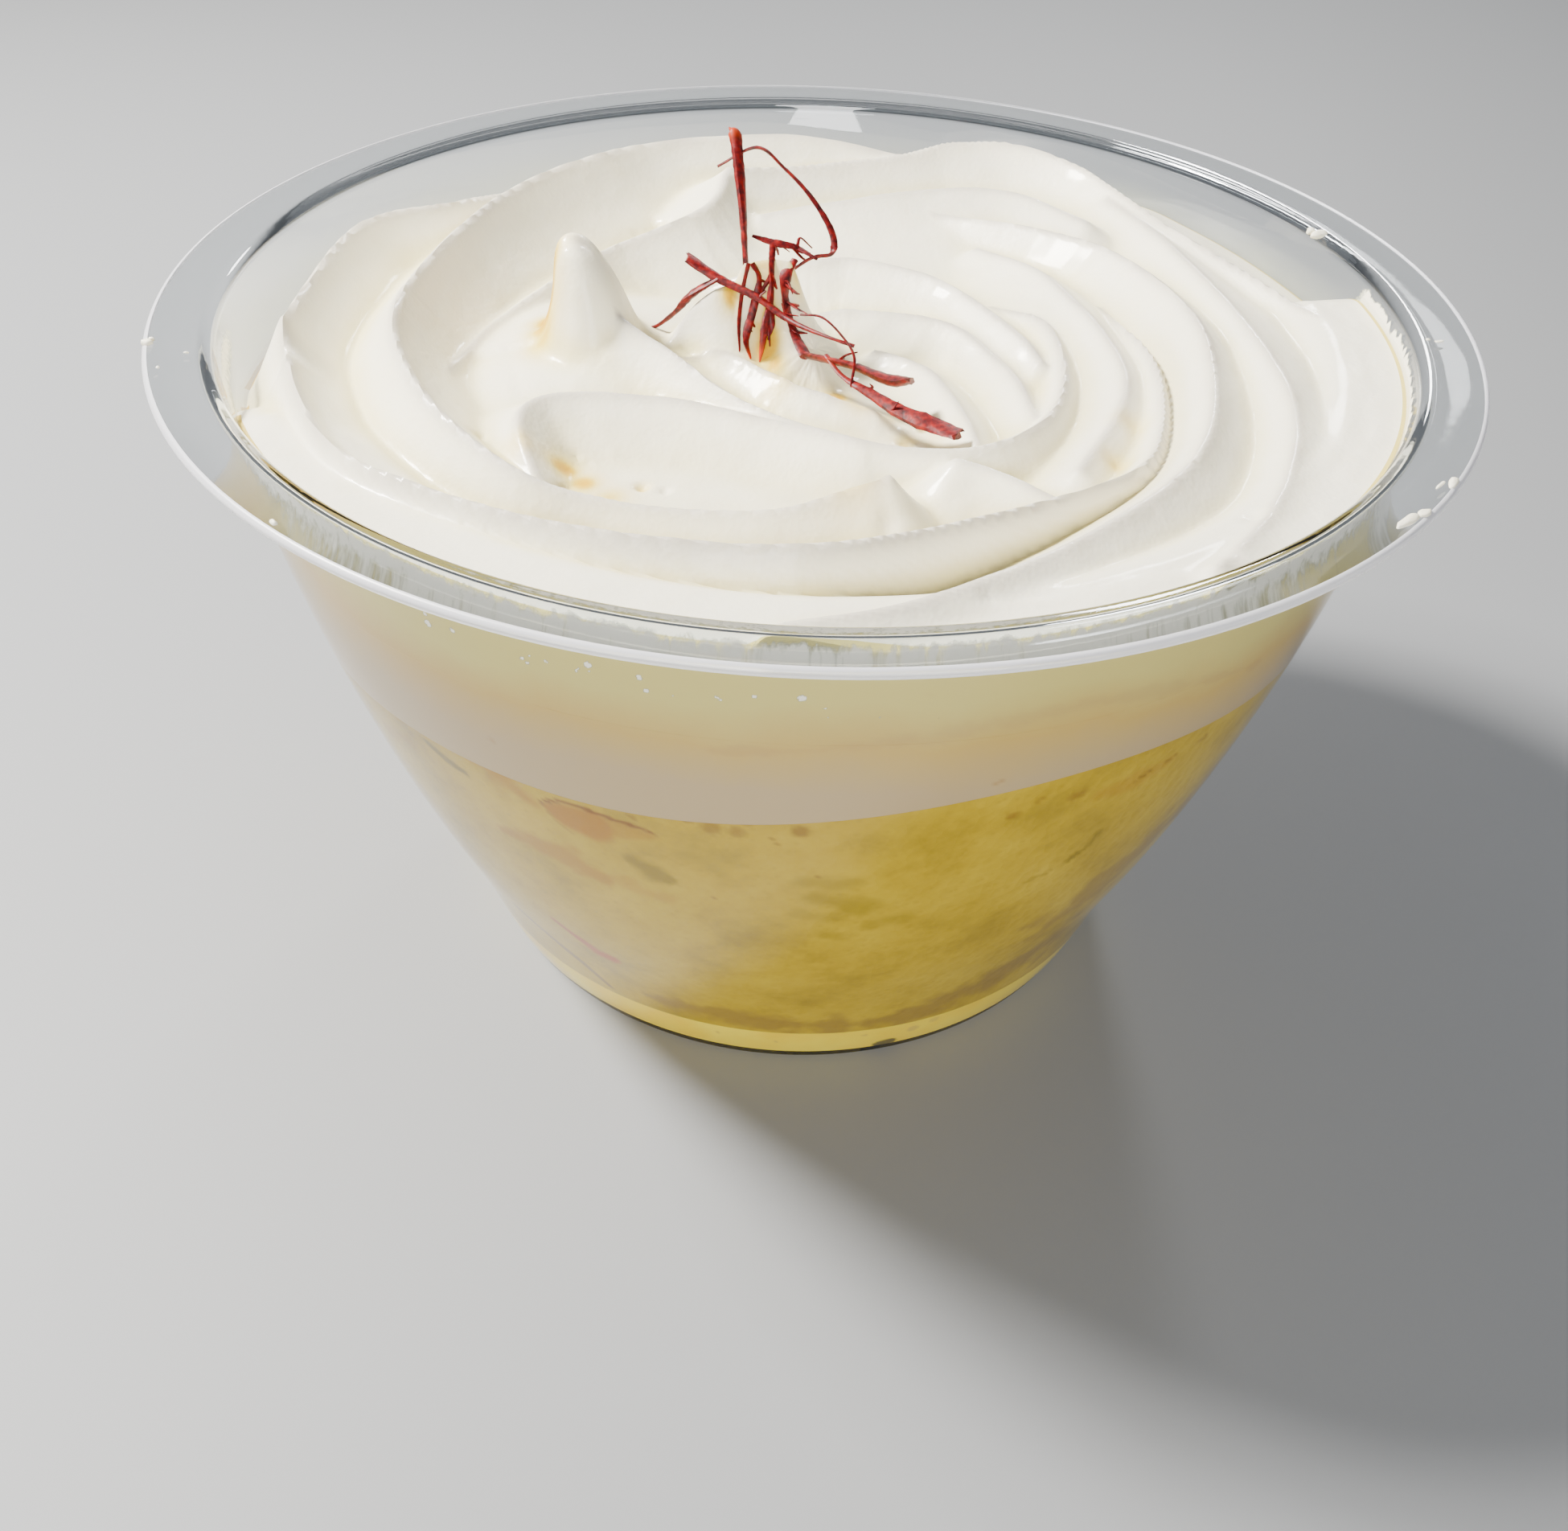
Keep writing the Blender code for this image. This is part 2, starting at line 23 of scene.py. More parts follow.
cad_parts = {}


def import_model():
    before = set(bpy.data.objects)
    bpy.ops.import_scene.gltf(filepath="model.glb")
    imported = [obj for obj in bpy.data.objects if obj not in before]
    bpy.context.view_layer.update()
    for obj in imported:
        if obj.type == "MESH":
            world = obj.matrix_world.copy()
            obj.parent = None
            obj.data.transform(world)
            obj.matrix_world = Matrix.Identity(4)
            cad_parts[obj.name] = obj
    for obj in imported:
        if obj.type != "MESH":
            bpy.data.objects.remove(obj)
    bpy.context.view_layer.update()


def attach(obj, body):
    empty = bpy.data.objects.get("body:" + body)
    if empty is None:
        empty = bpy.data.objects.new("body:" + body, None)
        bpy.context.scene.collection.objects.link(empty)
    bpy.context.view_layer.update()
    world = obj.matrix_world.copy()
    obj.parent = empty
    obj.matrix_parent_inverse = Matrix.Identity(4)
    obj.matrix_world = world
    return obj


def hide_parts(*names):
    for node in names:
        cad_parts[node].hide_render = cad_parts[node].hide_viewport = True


LOG = logging.getLogger("milk_cake")
MM = 0.001
Surface = Callable[[np.ndarray, np.ndarray], np.ndarray]


class Slot(Enum):
    """The record's material slots."""

    CLEAR_PLASTIC = "clear_plastic"
    SAFFRON_MILK = "saffron_milk"
    SOAKED_SPONGE = "soaked_sponge"
    WHIPPED_CREAM = "whipped_cream"
    PIPED_CREAM = "piped_cream"
    SAFFRON = "saffron"


# --- numbers and noise ---------------------------------------------------------------------
def smoothstep(t: np.ndarray) -> np.ndarray:
    """0 below 0, 1 above 1, and a smooth rise between."""
    t = np.clip(t, 0.0, 1.0)
    return t * t * (3.0 - 2.0 * t)


def value_noise(points: np.ndarray, size: float, seed: int) -> np.ndarray:
    """Smooth noise from -1 to 1.

    Args:
        points: positions, one row each.
        size: width of a lump, in the unit of the points.
        seed: picks the pattern.

    Returns:
        One value for each point.
    """
    cell = np.floor(points / size)
    part = smoothstep(points / size - cell)
    total = np.zeros(len(points))
    for corner in np.ndindex(2, 2, 2):
        key = (cell + corner).astype(np.int64) @ np.array([374761393, 668265263, 1440662683])
        key = (key + seed * 974634777) & 0xFFFFFFFF
        key = ((key ^ (key >> 13)) * 1274126177) & 0xFFFFFFFF
        value = ((key ^ (key >> 16)) & 0xFFFF) / 32767.5 - 1.0
        total += value * np.prod(np.where(corner, part, 1.0 - part), axis=1)
    return total


def layered_noise(points: np.ndarray, size: float, seed: int, octaves: int = 3) -> np.ndarray:
    """Noise summed over halving sizes.

    Args:
        points: positions, one row each.
        size: width of the largest lumps.
        seed: picks the pattern.
        octaves: how many sizes are summed.

    Returns:
        One value for each point, mostly between -1 and 1.
    """
    total = np.zeros(len(points))
    for octave in range(octaves):
        total += value_noise(points, size / 2**octave, seed + octave) / 2**octave
    return total / 1.5


def spline(knots: Sequence[Sequence[float]], samples: int) -> np.ndarray:
    """Points on a Catmull-Rom curve.

    Args:
        knots: the points that the curve goes through.
        samples: points between two knots.

    Returns:
        The curve's points, one row each.
    """
    knots = np.asarray(knots, dtype=float)
    padded = np.vstack([2 * knots[0] - knots[1], knots, 2 * knots[-1] - knots[-2]])
    steps = np.linspace(0.0, 1.0, samples, endpoint=False)[:, None]
    pieces = []
    for a, b, c, d in zip(padded, padded[1:], padded[2:], padded[3:]):
        slope = (c - a) * steps
        bend = (2 * a - 5 * b + 4 * c - d) * steps**2
        twist = (3 * b - a - 3 * c + d) * steps**3
        pieces.append(b + 0.5 * (slope + bend + twist))
    return np.vstack(pieces + [knots[-1:]])


def angle_gap(angle: np.ndarray, center: float) -> np.ndarray:
    """Signed difference of angles from a center, in degrees, within half a turn."""
    return (angle - center + 180.0) % 360.0 - 180.0


# --- nodes and colours ---------------------------------------------------------------------
def linear(code: str) -> tuple[float, float, float, float]:
    """Linear colour of an sRGB hex code.

    Args:
        code: six hex digits.

    Returns:
        Red, green, blue and alpha.
    """
    parts = [int(code[i:i + 2], 16) / 255.0 for i in (0, 2, 4)]
    low, high = 12.92, 1.055
    turned = [c / low if c <= 0.04045 else ((c + high - 1.0) / high) ** 2.4 for c in parts]
    return (*turned, 1.0)


def per_mm(size: float) -> float:
    """Texture scale at which a pattern on metres repeats each so many mm."""
    return 1000.0 / size


def add_node(tree: bpy.types.NodeTree, kind: str, settings: dict | None = None,
             links: dict | None = None) -> bpy.types.Node:
    """Add a node.

    Args:
        tree: the tree that takes it.
        kind: the node's type name, less its leading ShaderNode.
        settings: values of its sockets or, where no socket has the name, its properties.
        links: sockets that feed its own, by name or index.

    Returns:
        The node.
    """
    node = tree.nodes.new("ShaderNode" + kind)
    for key, value in (settings or {}).items():
        if isinstance(key, int) or key in node.inputs:
            node.inputs[key].default_value = value
        else:
            setattr(node, key, value)
    for key, socket in (links or {}).items():
        tree.links.new(socket, node.inputs[key])
    return node


def shade_ramp(tree: bpy.types.NodeTree, factor: bpy.types.NodeSocket,
               stops: Sequence[tuple[float, str]]) -> bpy.types.NodeSocket:
    """A colour ramp over a factor.

    Args:
        tree: the tree that takes it.
        factor: the socket that picks the colour.
        stops: positions with sRGB hex codes.

    Returns:
        The colour socket.
    """
    ramp = add_node(tree, "ValToRGB", links={"Fac": factor})
    points = ramp.color_ramp.elements
    while len(points) < len(stops):
        points.new(0.5)
    for point, (place, code) in zip(points, stops):
        point.position = place
        point.color = linear(code)
    return ramp.outputs["Color"]


def mix_colors(tree: bpy.types.NodeTree, factor: bpy.types.NodeSocket | float,
               first: bpy.types.NodeSocket | str,
               second: bpy.types.NodeSocket | str) -> bpy.types.NodeSocket:
    """Mix two colours, each a socket or an sRGB hex code.

    Args:
        tree: the tree that takes the node.
        factor: share of the second colour.
        first: the colour at 0.
        second: the colour at 1.

    Returns:
        The colour socket.
    """
    node = add_node(tree, "Mix", {"data_type": "RGBA"})
    for index, value in ((0, factor), (6, first), (7, second)):
        if isinstance(value, bpy.types.NodeSocket):
            tree.links.new(value, node.inputs[index])
        elif isinstance(value, str):
            node.inputs[index].default_value = linear(value)
        else:
            node.inputs[index].default_value = value
    return node.outputs[2]


def new_material(name: str) -> tuple[bpy.types.Material, bpy.types.NodeTree, bpy.types.Node]:
    """A node material with its tree and its Principled shader."""
    material = bpy.data.materials.new(name)
    material.use_nodes = True
    tree = material.node_tree
    return material, tree, tree.nodes["Principled BSDF"]


def object_coords(tree: bpy.types.NodeTree) -> bpy.types.NodeSocket:
    """Places in the object's own frame, in metres."""
    return add_node(tree, "TexCoord").outputs["Object"]


def attribute(tree: bpy.types.NodeTree, name: str) -> bpy.types.NodeSocket:
    """A number that the mesh's points hold."""
    return add_node(tree, "Attribute", {"attribute_name": name}).outputs["Fac"]


def add_bump(tree: bpy.types.NodeTree, shader: bpy.types.Node, height: bpy.types.NodeSocket,
             strength: float, depth: float) -> None:
    """Roughen a shader's surface.

    Args:
        tree: the tree that takes the node.
        shader: the shader.
        height: the socket that gives the relief.
        strength: share of the relief that shows.
        depth: its depth in mm.
    """
    bump = add_node(tree, "Bump", {"Strength": strength, "Distance": depth * MM},
                    {"Height": height})
    tree.links.new(bump.outputs["Normal"], shader.inputs["Normal"])


def mix_stains(tree: bpy.types.NodeTree, color: bpy.types.NodeSocket,
               stains: Sequence[tuple[str, str]]) -> bpy.types.NodeSocket:
    """Lay stains over a colour.

    Args:
        tree: the tree that takes the nodes.
        color: the colour below.
        stains: names of the attributes that hold them, with sRGB hex codes.

    Returns:
        The colour socket.
    """
    for name, code in stains:
        color = mix_colors(tree, attribute(tree, name), color, code)
    return color


def set_shader(shader: bpy.types.Node, values: dict) -> None:
    """Set constant values on a shader's own sockets."""
    for key, value in values.items():
        shader.inputs[key].default_value = value


# --- finishes ------------------------------------------------------------------------------
@dataclass(frozen=True)
class ClearPlastic:
    """Injection-moulded clear polystyrene: glassy, nearly colourless, faintly wavy."""

    tint: str = "F4F8FA"
    roughness: float = 0.03
    refraction: float = 1.46
    wave_size: float = 14.0
    shadow_alpha: float = 0.12

    def material(self) -> bpy.types.Material:
        """Build it. Light reaches the food straight through the wall, so shadow and diffuse
        rays see the plastic as almost clear."""
        material, tree, shader = new_material("clear_polystyrene")
        set_shader(shader, {"Base Color": linear(self.tint), "Roughness": self.roughness,
                            "IOR": self.refraction, "Transmission Weight": 1.0})
        coords = object_coords(tree)
        waves = add_node(tree, "TexNoise", {"Scale": per_mm(self.wave_size), "Detail": 1.0},
                         {"Vector": coords})
        add_bump(tree, shader, waves.outputs["Fac"], 0.05, 1.0)
        path = add_node(tree, "LightPath")
        light = add_node(tree, "Math", {"operation": "MAXIMUM"},
                         {0: path.outputs["Is Shadow Ray"], 1: path.outputs["Is Diffuse Ray"]})
        alpha = add_node(tree, "Math", {"operation": "MULTIPLY_ADD", 1: self.shadow_alpha - 1.0,
                                        2: 1.0}, {0: light.outputs["Value"]})
        tree.links.new(alpha.outputs["Value"], shader.inputs["Alpha"])
        return material


@dataclass(frozen=True)
class TrimmedEdge:
    """The rim's trimmed edge: the same polystyrene, whitened by stress and satin."""

    white: str = "EDEDF4"

    def material(self) -> bpy.types.Material:
        """Build it: frosted, and about a third see-through."""
        material, _, shader = new_material("trimmed_polystyrene_edge")
        set_shader(shader, {"Base Color": linear(self.white), "Roughness": 0.35, "IOR": 1.5,
                            "Transmission Weight": 0.35})
        return material


@dataclass(frozen=True)
class PipedCream:
    """Whipped dairy cream, piped: ivory white, satin, with fine air bubbles and a wet sheen."""

    white: str = "F8F2DC"
    # painted shade: the colour of valleys and low parts, as if they lay in shade
    hollow: str = "E0D48E"
    # painted shade: grey laid along the crests where their far side falls into shade
    crest: str = "958A84"
    saffron: str = "E8C800"
    amber: str = "D6A400"
    bubble_size: float = 0.45
    lump_size: float = 3.0

    def material(self) -> bpy.types.Material:
        """Build it: painted shade makes valleys and low parts creamier and crests greyer; saffron
        stains the pockets.
        """
        material, tree, shader = new_material("piped_whipped_cream")
        set_shader(shader, {"IOR": 1.4, "Subsurface Weight": 0.08, "Subsurface Scale": 0.001,
                            "Subsurface Radius": (1.0, 0.8, 0.5), "Coat Weight": 0.2,
                            "Coat Roughness": 0.12})
        coords = object_coords(tree)
        # painted shade in the valleys and low parts, with random lumps mixed in
        hollow = attribute(tree, "hollow")
        stain = attribute(tree, "stain")
        lumps = add_node(tree, "TexNoise", {"Scale": per_mm(self.lump_size), "Detail": 4.0},
                         {"Vector": coords})
        uneven = add_node(tree, "Math", {"operation": "MULTIPLY_ADD", 1: 0.3, 2: -0.15},
                          {0: lumps.outputs["Fac"]})
        shade = add_node(tree, "Math", {"operation": "ADD", "use_clamp": True},
                         {0: hollow, 1: uneven.outputs["Value"]})
        base = mix_colors(tree, shade.outputs["Value"], self.white, self.hollow)
        # painted shade line along the crests
        crest = attribute(tree, "crest")
        base = mix_colors(tree, crest, base, self.crest)
        tinted = mix_colors(tree, stain, base, self.saffron)
        deep = add_node(tree, "MapRange", {"From Min": 0.6, "From Max": 1.0}, {"Value": stain})
        color = mix_colors(tree, deep.outputs["Result"], tinted, self.amber)
        tree.links.new(color, shader.inputs["Base Color"])
        rough = add_node(tree, "MapRange", {"To Min": 0.36, "To Max": 0.56},
                         {"Value": lumps.outputs["Fac"]})
        tree.links.new(rough.outputs["Result"], shader.inputs["Roughness"])
        bubbles = add_node(tree, "TexVoronoi", {"Scale": per_mm(self.bubble_size)},
                           {"Vector": coords})
        fine = add_node(tree, "Bump", {"Strength": 0.12, "Distance": 0.15 * MM},
                        {"Height": bubbles.outputs["Distance"]})
        broad = add_node(tree, "Bump", {"Strength": 0.3, "Distance": 0.4 * MM},
                         {"Height": lumps.outputs["Fac"], "Normal": fine.outputs["Normal"]})
        tree.links.new(broad.outputs["Normal"], shader.inputs["Normal"])
        return material


@dataclass(frozen=True)
class ShadedWallCream:
    """Cream pressed on the plastic, in painted shade: mauve grey low down, tan, khaki at the top.
    """

    mauve: str = "BCA378"
    tan: str = "C8A85C"
    khaki: str = "D0C070"
    vein: str = "B08E5C"
    lump_size: float = 14.0

    def material(self) -> bpy.types.Material:
        """Build it: tones that follow the height, with veins."""
        # painted shade: this palette is darker than the piped cream's and stands in for the shade
        # on the wall
        material, tree, shader = new_material("pressed_cream_painted_shade")
        set_shader(shader, {"Roughness": 0.5, "Specular IOR Level": 0.0})
        coords = object_coords(tree)
        rise = attribute(tree, "rise")
        mottle = add_node(tree, "TexNoise", {"Scale": per_mm(self.lump_size), "Detail": 5.0,
                                             "Roughness": 0.6}, {"Vector": coords})
        uneven = add_node(tree, "Math", {"operation": "MULTIPLY_ADD", 1: 0.45, 2: -0.22},
                          {0: mottle.outputs["Fac"]})
        share = add_node(tree, "Math", {"operation": "ADD", "use_clamp": True},
                         {0: rise, 1: uneven.outputs["Value"]})
        color = shade_ramp(tree, share.outputs["Value"],
                           [(0.15, self.mauve), (0.5, self.tan), (0.85, self.khaki)])
        vein = attribute(tree, "vein")
        color = mix_colors(tree, vein, color, self.vein)
        tree.links.new(color, shader.inputs["Base Color"])
        add_bump(tree, shader, mottle.outputs["Fac"], 0.15, 0.3)
        return material


@dataclass(frozen=True)
class SoakedSponge:
    """Baked sponge soaked in saffron milk: mustard yellow, softly mottled, finely pored."""

    pale: str = "CCAC2A"
    middle: str = "BC9C1A"
    deep: str = "A08418"
    stains: tuple[tuple[str, str], ...] = (
        ("rose", "8E7030"), ("olive", "806A00"), ("yolk", "AE8000"), ("pocket", "A87000"),
        ("bubble", "8E6A14"), ("orange", "B05C00"), ("outline", "74400C"))
    mottle_size: float = 9.0
    pore_size: float = 1.1

    def material(self) -> bpy.types.Material:
        """Build it: cloudy mottle, darker pores, and the stains that its attributes hold."""
        material, tree, shader = new_material("soaked_sponge")
        set_shader(shader, {"Roughness": 0.55, "Specular IOR Level": 0.0})
        coords = object_coords(tree)
        clouds = add_node(tree, "TexNoise", {"Scale": per_mm(self.mottle_size), "Detail": 6.0,
                                             "Roughness": 0.66}, {"Vector": coords})
        color = shade_ramp(tree, clouds.outputs["Fac"],
                           [(0.3, self.deep), (0.48, self.middle), (0.7, self.pale)])
        pores = add_node(tree, "TexVoronoi", {"Scale": per_mm(self.pore_size)},
                         {"Vector": coords})
        hole = add_node(tree, "MapRange", {"From Min": 0.3, "From Max": 0.05, "To Max": 0.3},
                        {"Value": pores.outputs["Distance"]})
        color = mix_colors(tree, hole.outputs["Result"], color, self.deep)
        color = mix_stains(tree, color, self.stains)
        tree.links.new(color, shader.inputs["Base Color"])
        add_bump(tree, shader, pores.outputs["Distance"], 0.3, 0.3)
        return material


@dataclass(frozen=True)
class SaffronMilk:
    """Whole milk steeped with saffron: pale warm yellow and smooth."""

    pale: str = "FFE23C"
    deep: str = "FAD022"
    brown: str = "D8B450"
    shadow: str = "6A5C2C"
    cloud_size: float = 8.0

    def material(self) -> bpy.types.Material:
        """Build it: a clean yellow with soft clouds, bubbles and a dark notch."""
        material, tree, shader = new_material("saffron_milk")
        set_shader(shader, {"Roughness": 0.5, "Specular IOR Level": 0.0})
        coords = object_coords(tree)
        clouds = add_node(tree, "TexNoise", {"Scale": per_mm(self.cloud_size), "Detail": 3.0},
                          {"Vector": coords})
        color = shade_ramp(tree, clouds.outputs["Fac"], [(0.35, self.deep), (0.6, self.pale)])
        color = mix_stains(tree, color, (("bubble", self.brown), ("notch", self.shadow)))
        tree.links.new(color, shader.inputs["Base Color"])
        return material


@dataclass(frozen=True)
class SaffronStigma:
    """Dried saffron stigma: deep crimson, matt, grained along its length, orange at its foot."""

    crimson: str = "60080C"
    dark: str = "300408"
    scarlet: str = "90120A"
    orange: str = "BC3C0C"
    grain_size: float = 0.5

    def material(self) -> bpy.types.Material:
        """Build it: crimson with darker and brighter streaks, and orange at the foot."""
        material, tree, shader = new_material("saffron_stigma")
        set_shader(shader, {"Roughness": 0.5, "Specular IOR Level": 0.3})
        coords = object_coords(tree)
        grain = add_node(tree, "TexNoise", {"Scale": per_mm(self.grain_size), "Detail": 3.0},
                         {"Vector": coords})
        color = shade_ramp(tree, grain.outputs["Fac"],
                           [(0.3, self.dark), (0.5, self.crimson), (0.75, self.scarlet)])
        foot = attribute(tree, "foot")
        color = mix_colors(tree, foot, color, self.orange)
        tree.links.new(color, shader.inputs["Base Color"])
        add_bump(tree, shader, grain.outputs["Fac"], 0.5, 0.1)
        return material


@dataclass(frozen=True)
class CreamFilm:
    """A film of cream that the filling left on the plastic: white, broken, frayed."""

    white: str = "FAF4E2"
    haze: str = "D3D5AE"
    speckle_size: float = 0.7
    haze_alpha: float = 0.3

    def material(self) -> bpy.types.Material:
        """Build it: the cover attribute says how much of the wall the film hides, and the haze
        attribute where only a breath of it is left."""
        material, tree, shader = new_material("cream_film")
        set_shader(shader, {"Roughness": 0.45})
        coords = object_coords(tree)
        cover = attribute(tree, "cover")
        haze = attribute(tree, "haze")
        grain = add_node(tree, "TexNoise", {"Scale": per_mm(self.speckle_size), "Detail": 3.0,
                                            "Roughness": 0.7}, {"Vector": coords})
        total = add_node(tree, "Math", {"operation": "ADD"}, {0: grain.outputs["Fac"], 1: cover})
        solid = add_node(tree, "MapRange", {"From Min": 0.85, "From Max": 1.25},
                         {"Value": total.outputs["Value"]})
        faint = add_node(tree, "Math", {"operation": "MULTIPLY", 1: self.haze_alpha}, {0: haze})
        alpha = add_node(tree, "Math", {"operation": "MAXIMUM"},
                         {0: solid.outputs["Result"], 1: faint.outputs["Value"]})
        tree.links.new(alpha.outputs["Value"], shader.inputs["Alpha"])
        color = mix_colors(tree, solid.outputs["Result"], self.haze, self.white)
        tree.links.new(color, shader.inputs["Base Color"])
        return material


@dataclass(frozen=True)
class PaleFloor:
    """A plain pale matt table top."""

    color: str = "888A8D"

    def material(self) -> bpy.types.Material:
        """Build it: matt and even."""
        material, _, shader = new_material("pale_table")
        set_shader(shader, {"Base Color": linear(self.color), "Roughness": 0.6})
        return material


# --- modelling -----------------------------------------------------------------------------
def deselect_all() -> None:
    """Leave edit mode and select nothing."""
    if bpy.context.object and bpy.context.object.mode != "OBJECT":
        bpy.ops.object.mode_set(mode="OBJECT")
    bpy.ops.object.select_all(action="DESELECT")


def lathe(name: str, profile: Sequence[tuple[float, float]], steps: int) -> bpy.types.Object:
    """A closed turned solid: a disc that is extruded and resized from ring to ring.

    Args:
        name: the object's name.
        profile: radius and height of each ring, in mm, from the underside's inner ring
            outwards, up and back in to the last one.
        steps: sides of a ring.

    Returns:
        The object.
    """
    deselect_all()
    radius, height = profile[0]
    bpy.ops.mesh.primitive_circle_add(vertices=steps, radius=radius * MM, fill_type="NGON",
                                      location=(0.0, 0.0, height * MM))
    obj = bpy.context.object
    obj.name = obj.data.name = name
    bpy.ops.object.transform_apply(location=True)
    bpy.ops.object.mode_set(mode="EDIT")
    bpy.ops.mesh.select_all(action="SELECT")
    for (r0, z0), (r1, z1) in zip(profile, profile[1:]):
        bpy.ops.mesh.extrude_region_move(
            TRANSFORM_OT_translate={"value": (0.0, 0.0, (z1 - z0) * MM)})
        bpy.ops.transform.resize(value=(r1 / r0, r1 / r0, 1.0), center_override=(0, 0, z1 * MM))
    bpy.ops.mesh.select_all(action="SELECT")
    bpy.ops.mesh.normals_make_consistent(inside=False)
    bpy.ops.object.mode_set(mode="OBJECT")
    bpy.ops.object.shade_smooth_by_angle(angle=math.radians(40))
    return obj


def wrapped_grid(name: str, columns: int, rows: int) -> tuple[bpy.types.Object, np.ndarray]:
    """A flat grid, whose points are to be wrapped round the cup's axis.

    Args:
        name: the object's name.
        columns: quads round the axis.
        rows: quads along the profile.

    Returns:
        The object, and for each point its share of the turn and of the profile.
    """
    deselect_all()
    bpy.ops.mesh.primitive_grid_add(x_subdivisions=columns, y_subdivisions=rows, size=2.0)
    obj = bpy.context.object
    obj.name = obj.data.name = name
    co = np.empty(len(obj.data.vertices) * 3)
    obj.data.vertices.foreach_get("co", co)
    return obj, (co.reshape(-1, 3)[:, :2] + 1.0) / 2.0


def set_points(obj: bpy.types.Object, points: np.ndarray) -> None:
    """Write a mesh's points, given in mm."""
    obj.data.vertices.foreach_set("co", (points * MM).ravel())
    obj.data.update()


def close_wrap(obj: bpy.types.Object) -> None:
    """Merge the seam and the poles of a wrapped grid, and turn its faces outwards."""
    deselect_all()
    obj.select_set(True)
    bpy.context.view_layer.objects.active = obj
    bpy.ops.object.mode_set(mode="EDIT")
    bpy.ops.mesh.select_all(action="SELECT")
    bpy.ops.mesh.remove_doubles(threshold=1e-6)
    bpy.ops.mesh.normals_make_consistent(inside=False)
    bpy.ops.object.mode_set(mode="OBJECT")
    bpy.ops.object.shade_smooth_by_angle(angle=math.radians(55))


def set_attribute(obj: bpy.types.Object, name: str, values: np.ndarray) -> None:
    """Store one number for each point of a mesh."""
    attribute = obj.data.attributes.new(name, "FLOAT", "POINT")
    attribute.data.foreach_set("value", np.clip(values, 0.0, 1.0).astype(np.float32))


def points_of(obj: bpy.types.Object) -> np.ndarray:
    """A mesh's points in mm, one row each."""
    co = np.empty(len(obj.data.vertices) * 3)
    obj.data.vertices.foreach_get("co", co)
    return co.reshape(-1, 3) / MM


def paint_faces(obj: bpy.types.Object, chosen: np.ndarray, index: int) -> None:
    """Give the chosen faces another of the piece's materials.

    Args:
        obj: the piece.
        chosen: true for each face that changes.
        index: the material's place in the piece's list.
    """
    current = np.zeros(len(obj.data.polygons), dtype=np.int32)
    obj.data.polygons.foreach_get("material_index", current)
    current[chosen] = index
    obj.data.polygons.foreach_set("material_index", current)


def face_centers(obj: bpy.types.Object) -> np.ndarray:
    """The middles of a mesh's faces in mm, one row each."""
    co = np.empty(len(obj.data.polygons) * 3)
    obj.data.polygons.foreach_get("center", co)
    return co.reshape(-1, 3) / MM


def join_pieces(pieces: Sequence[bpy.types.Object], name: str) -> bpy.types.Object:
    """Join pieces to one object of a given name."""
    deselect_all()
    for piece in pieces:
        piece.select_set(True)
    bpy.context.view_layer.objects.active = pieces[0]
    bpy.ops.object.join()
    joined = bpy.context.object
    joined.name = joined.data.name = name
    return joined


def publish(obj: bpy.types.Object, materials: Sequence[bpy.types.Material], slot: Slot,
            *nodes: str) -> bpy.types.Object:
    """Dress a finished piece and tell the frame about it.

    Args:
        obj: the piece, at the origin.
        materials: its finishes, in the order of its faces' material numbers.
        slot: the record's slot of that finish; not used.
        nodes: CAD nodes that it stands for.

    Returns:
        The piece.
    """
    for material in materials:
        obj.data.materials.append(material)
    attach(obj, "root")
    if nodes:
        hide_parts(*nodes)
    LOG.info("%s: %d faces", obj.name, len(obj.data.polygons))
    return obj


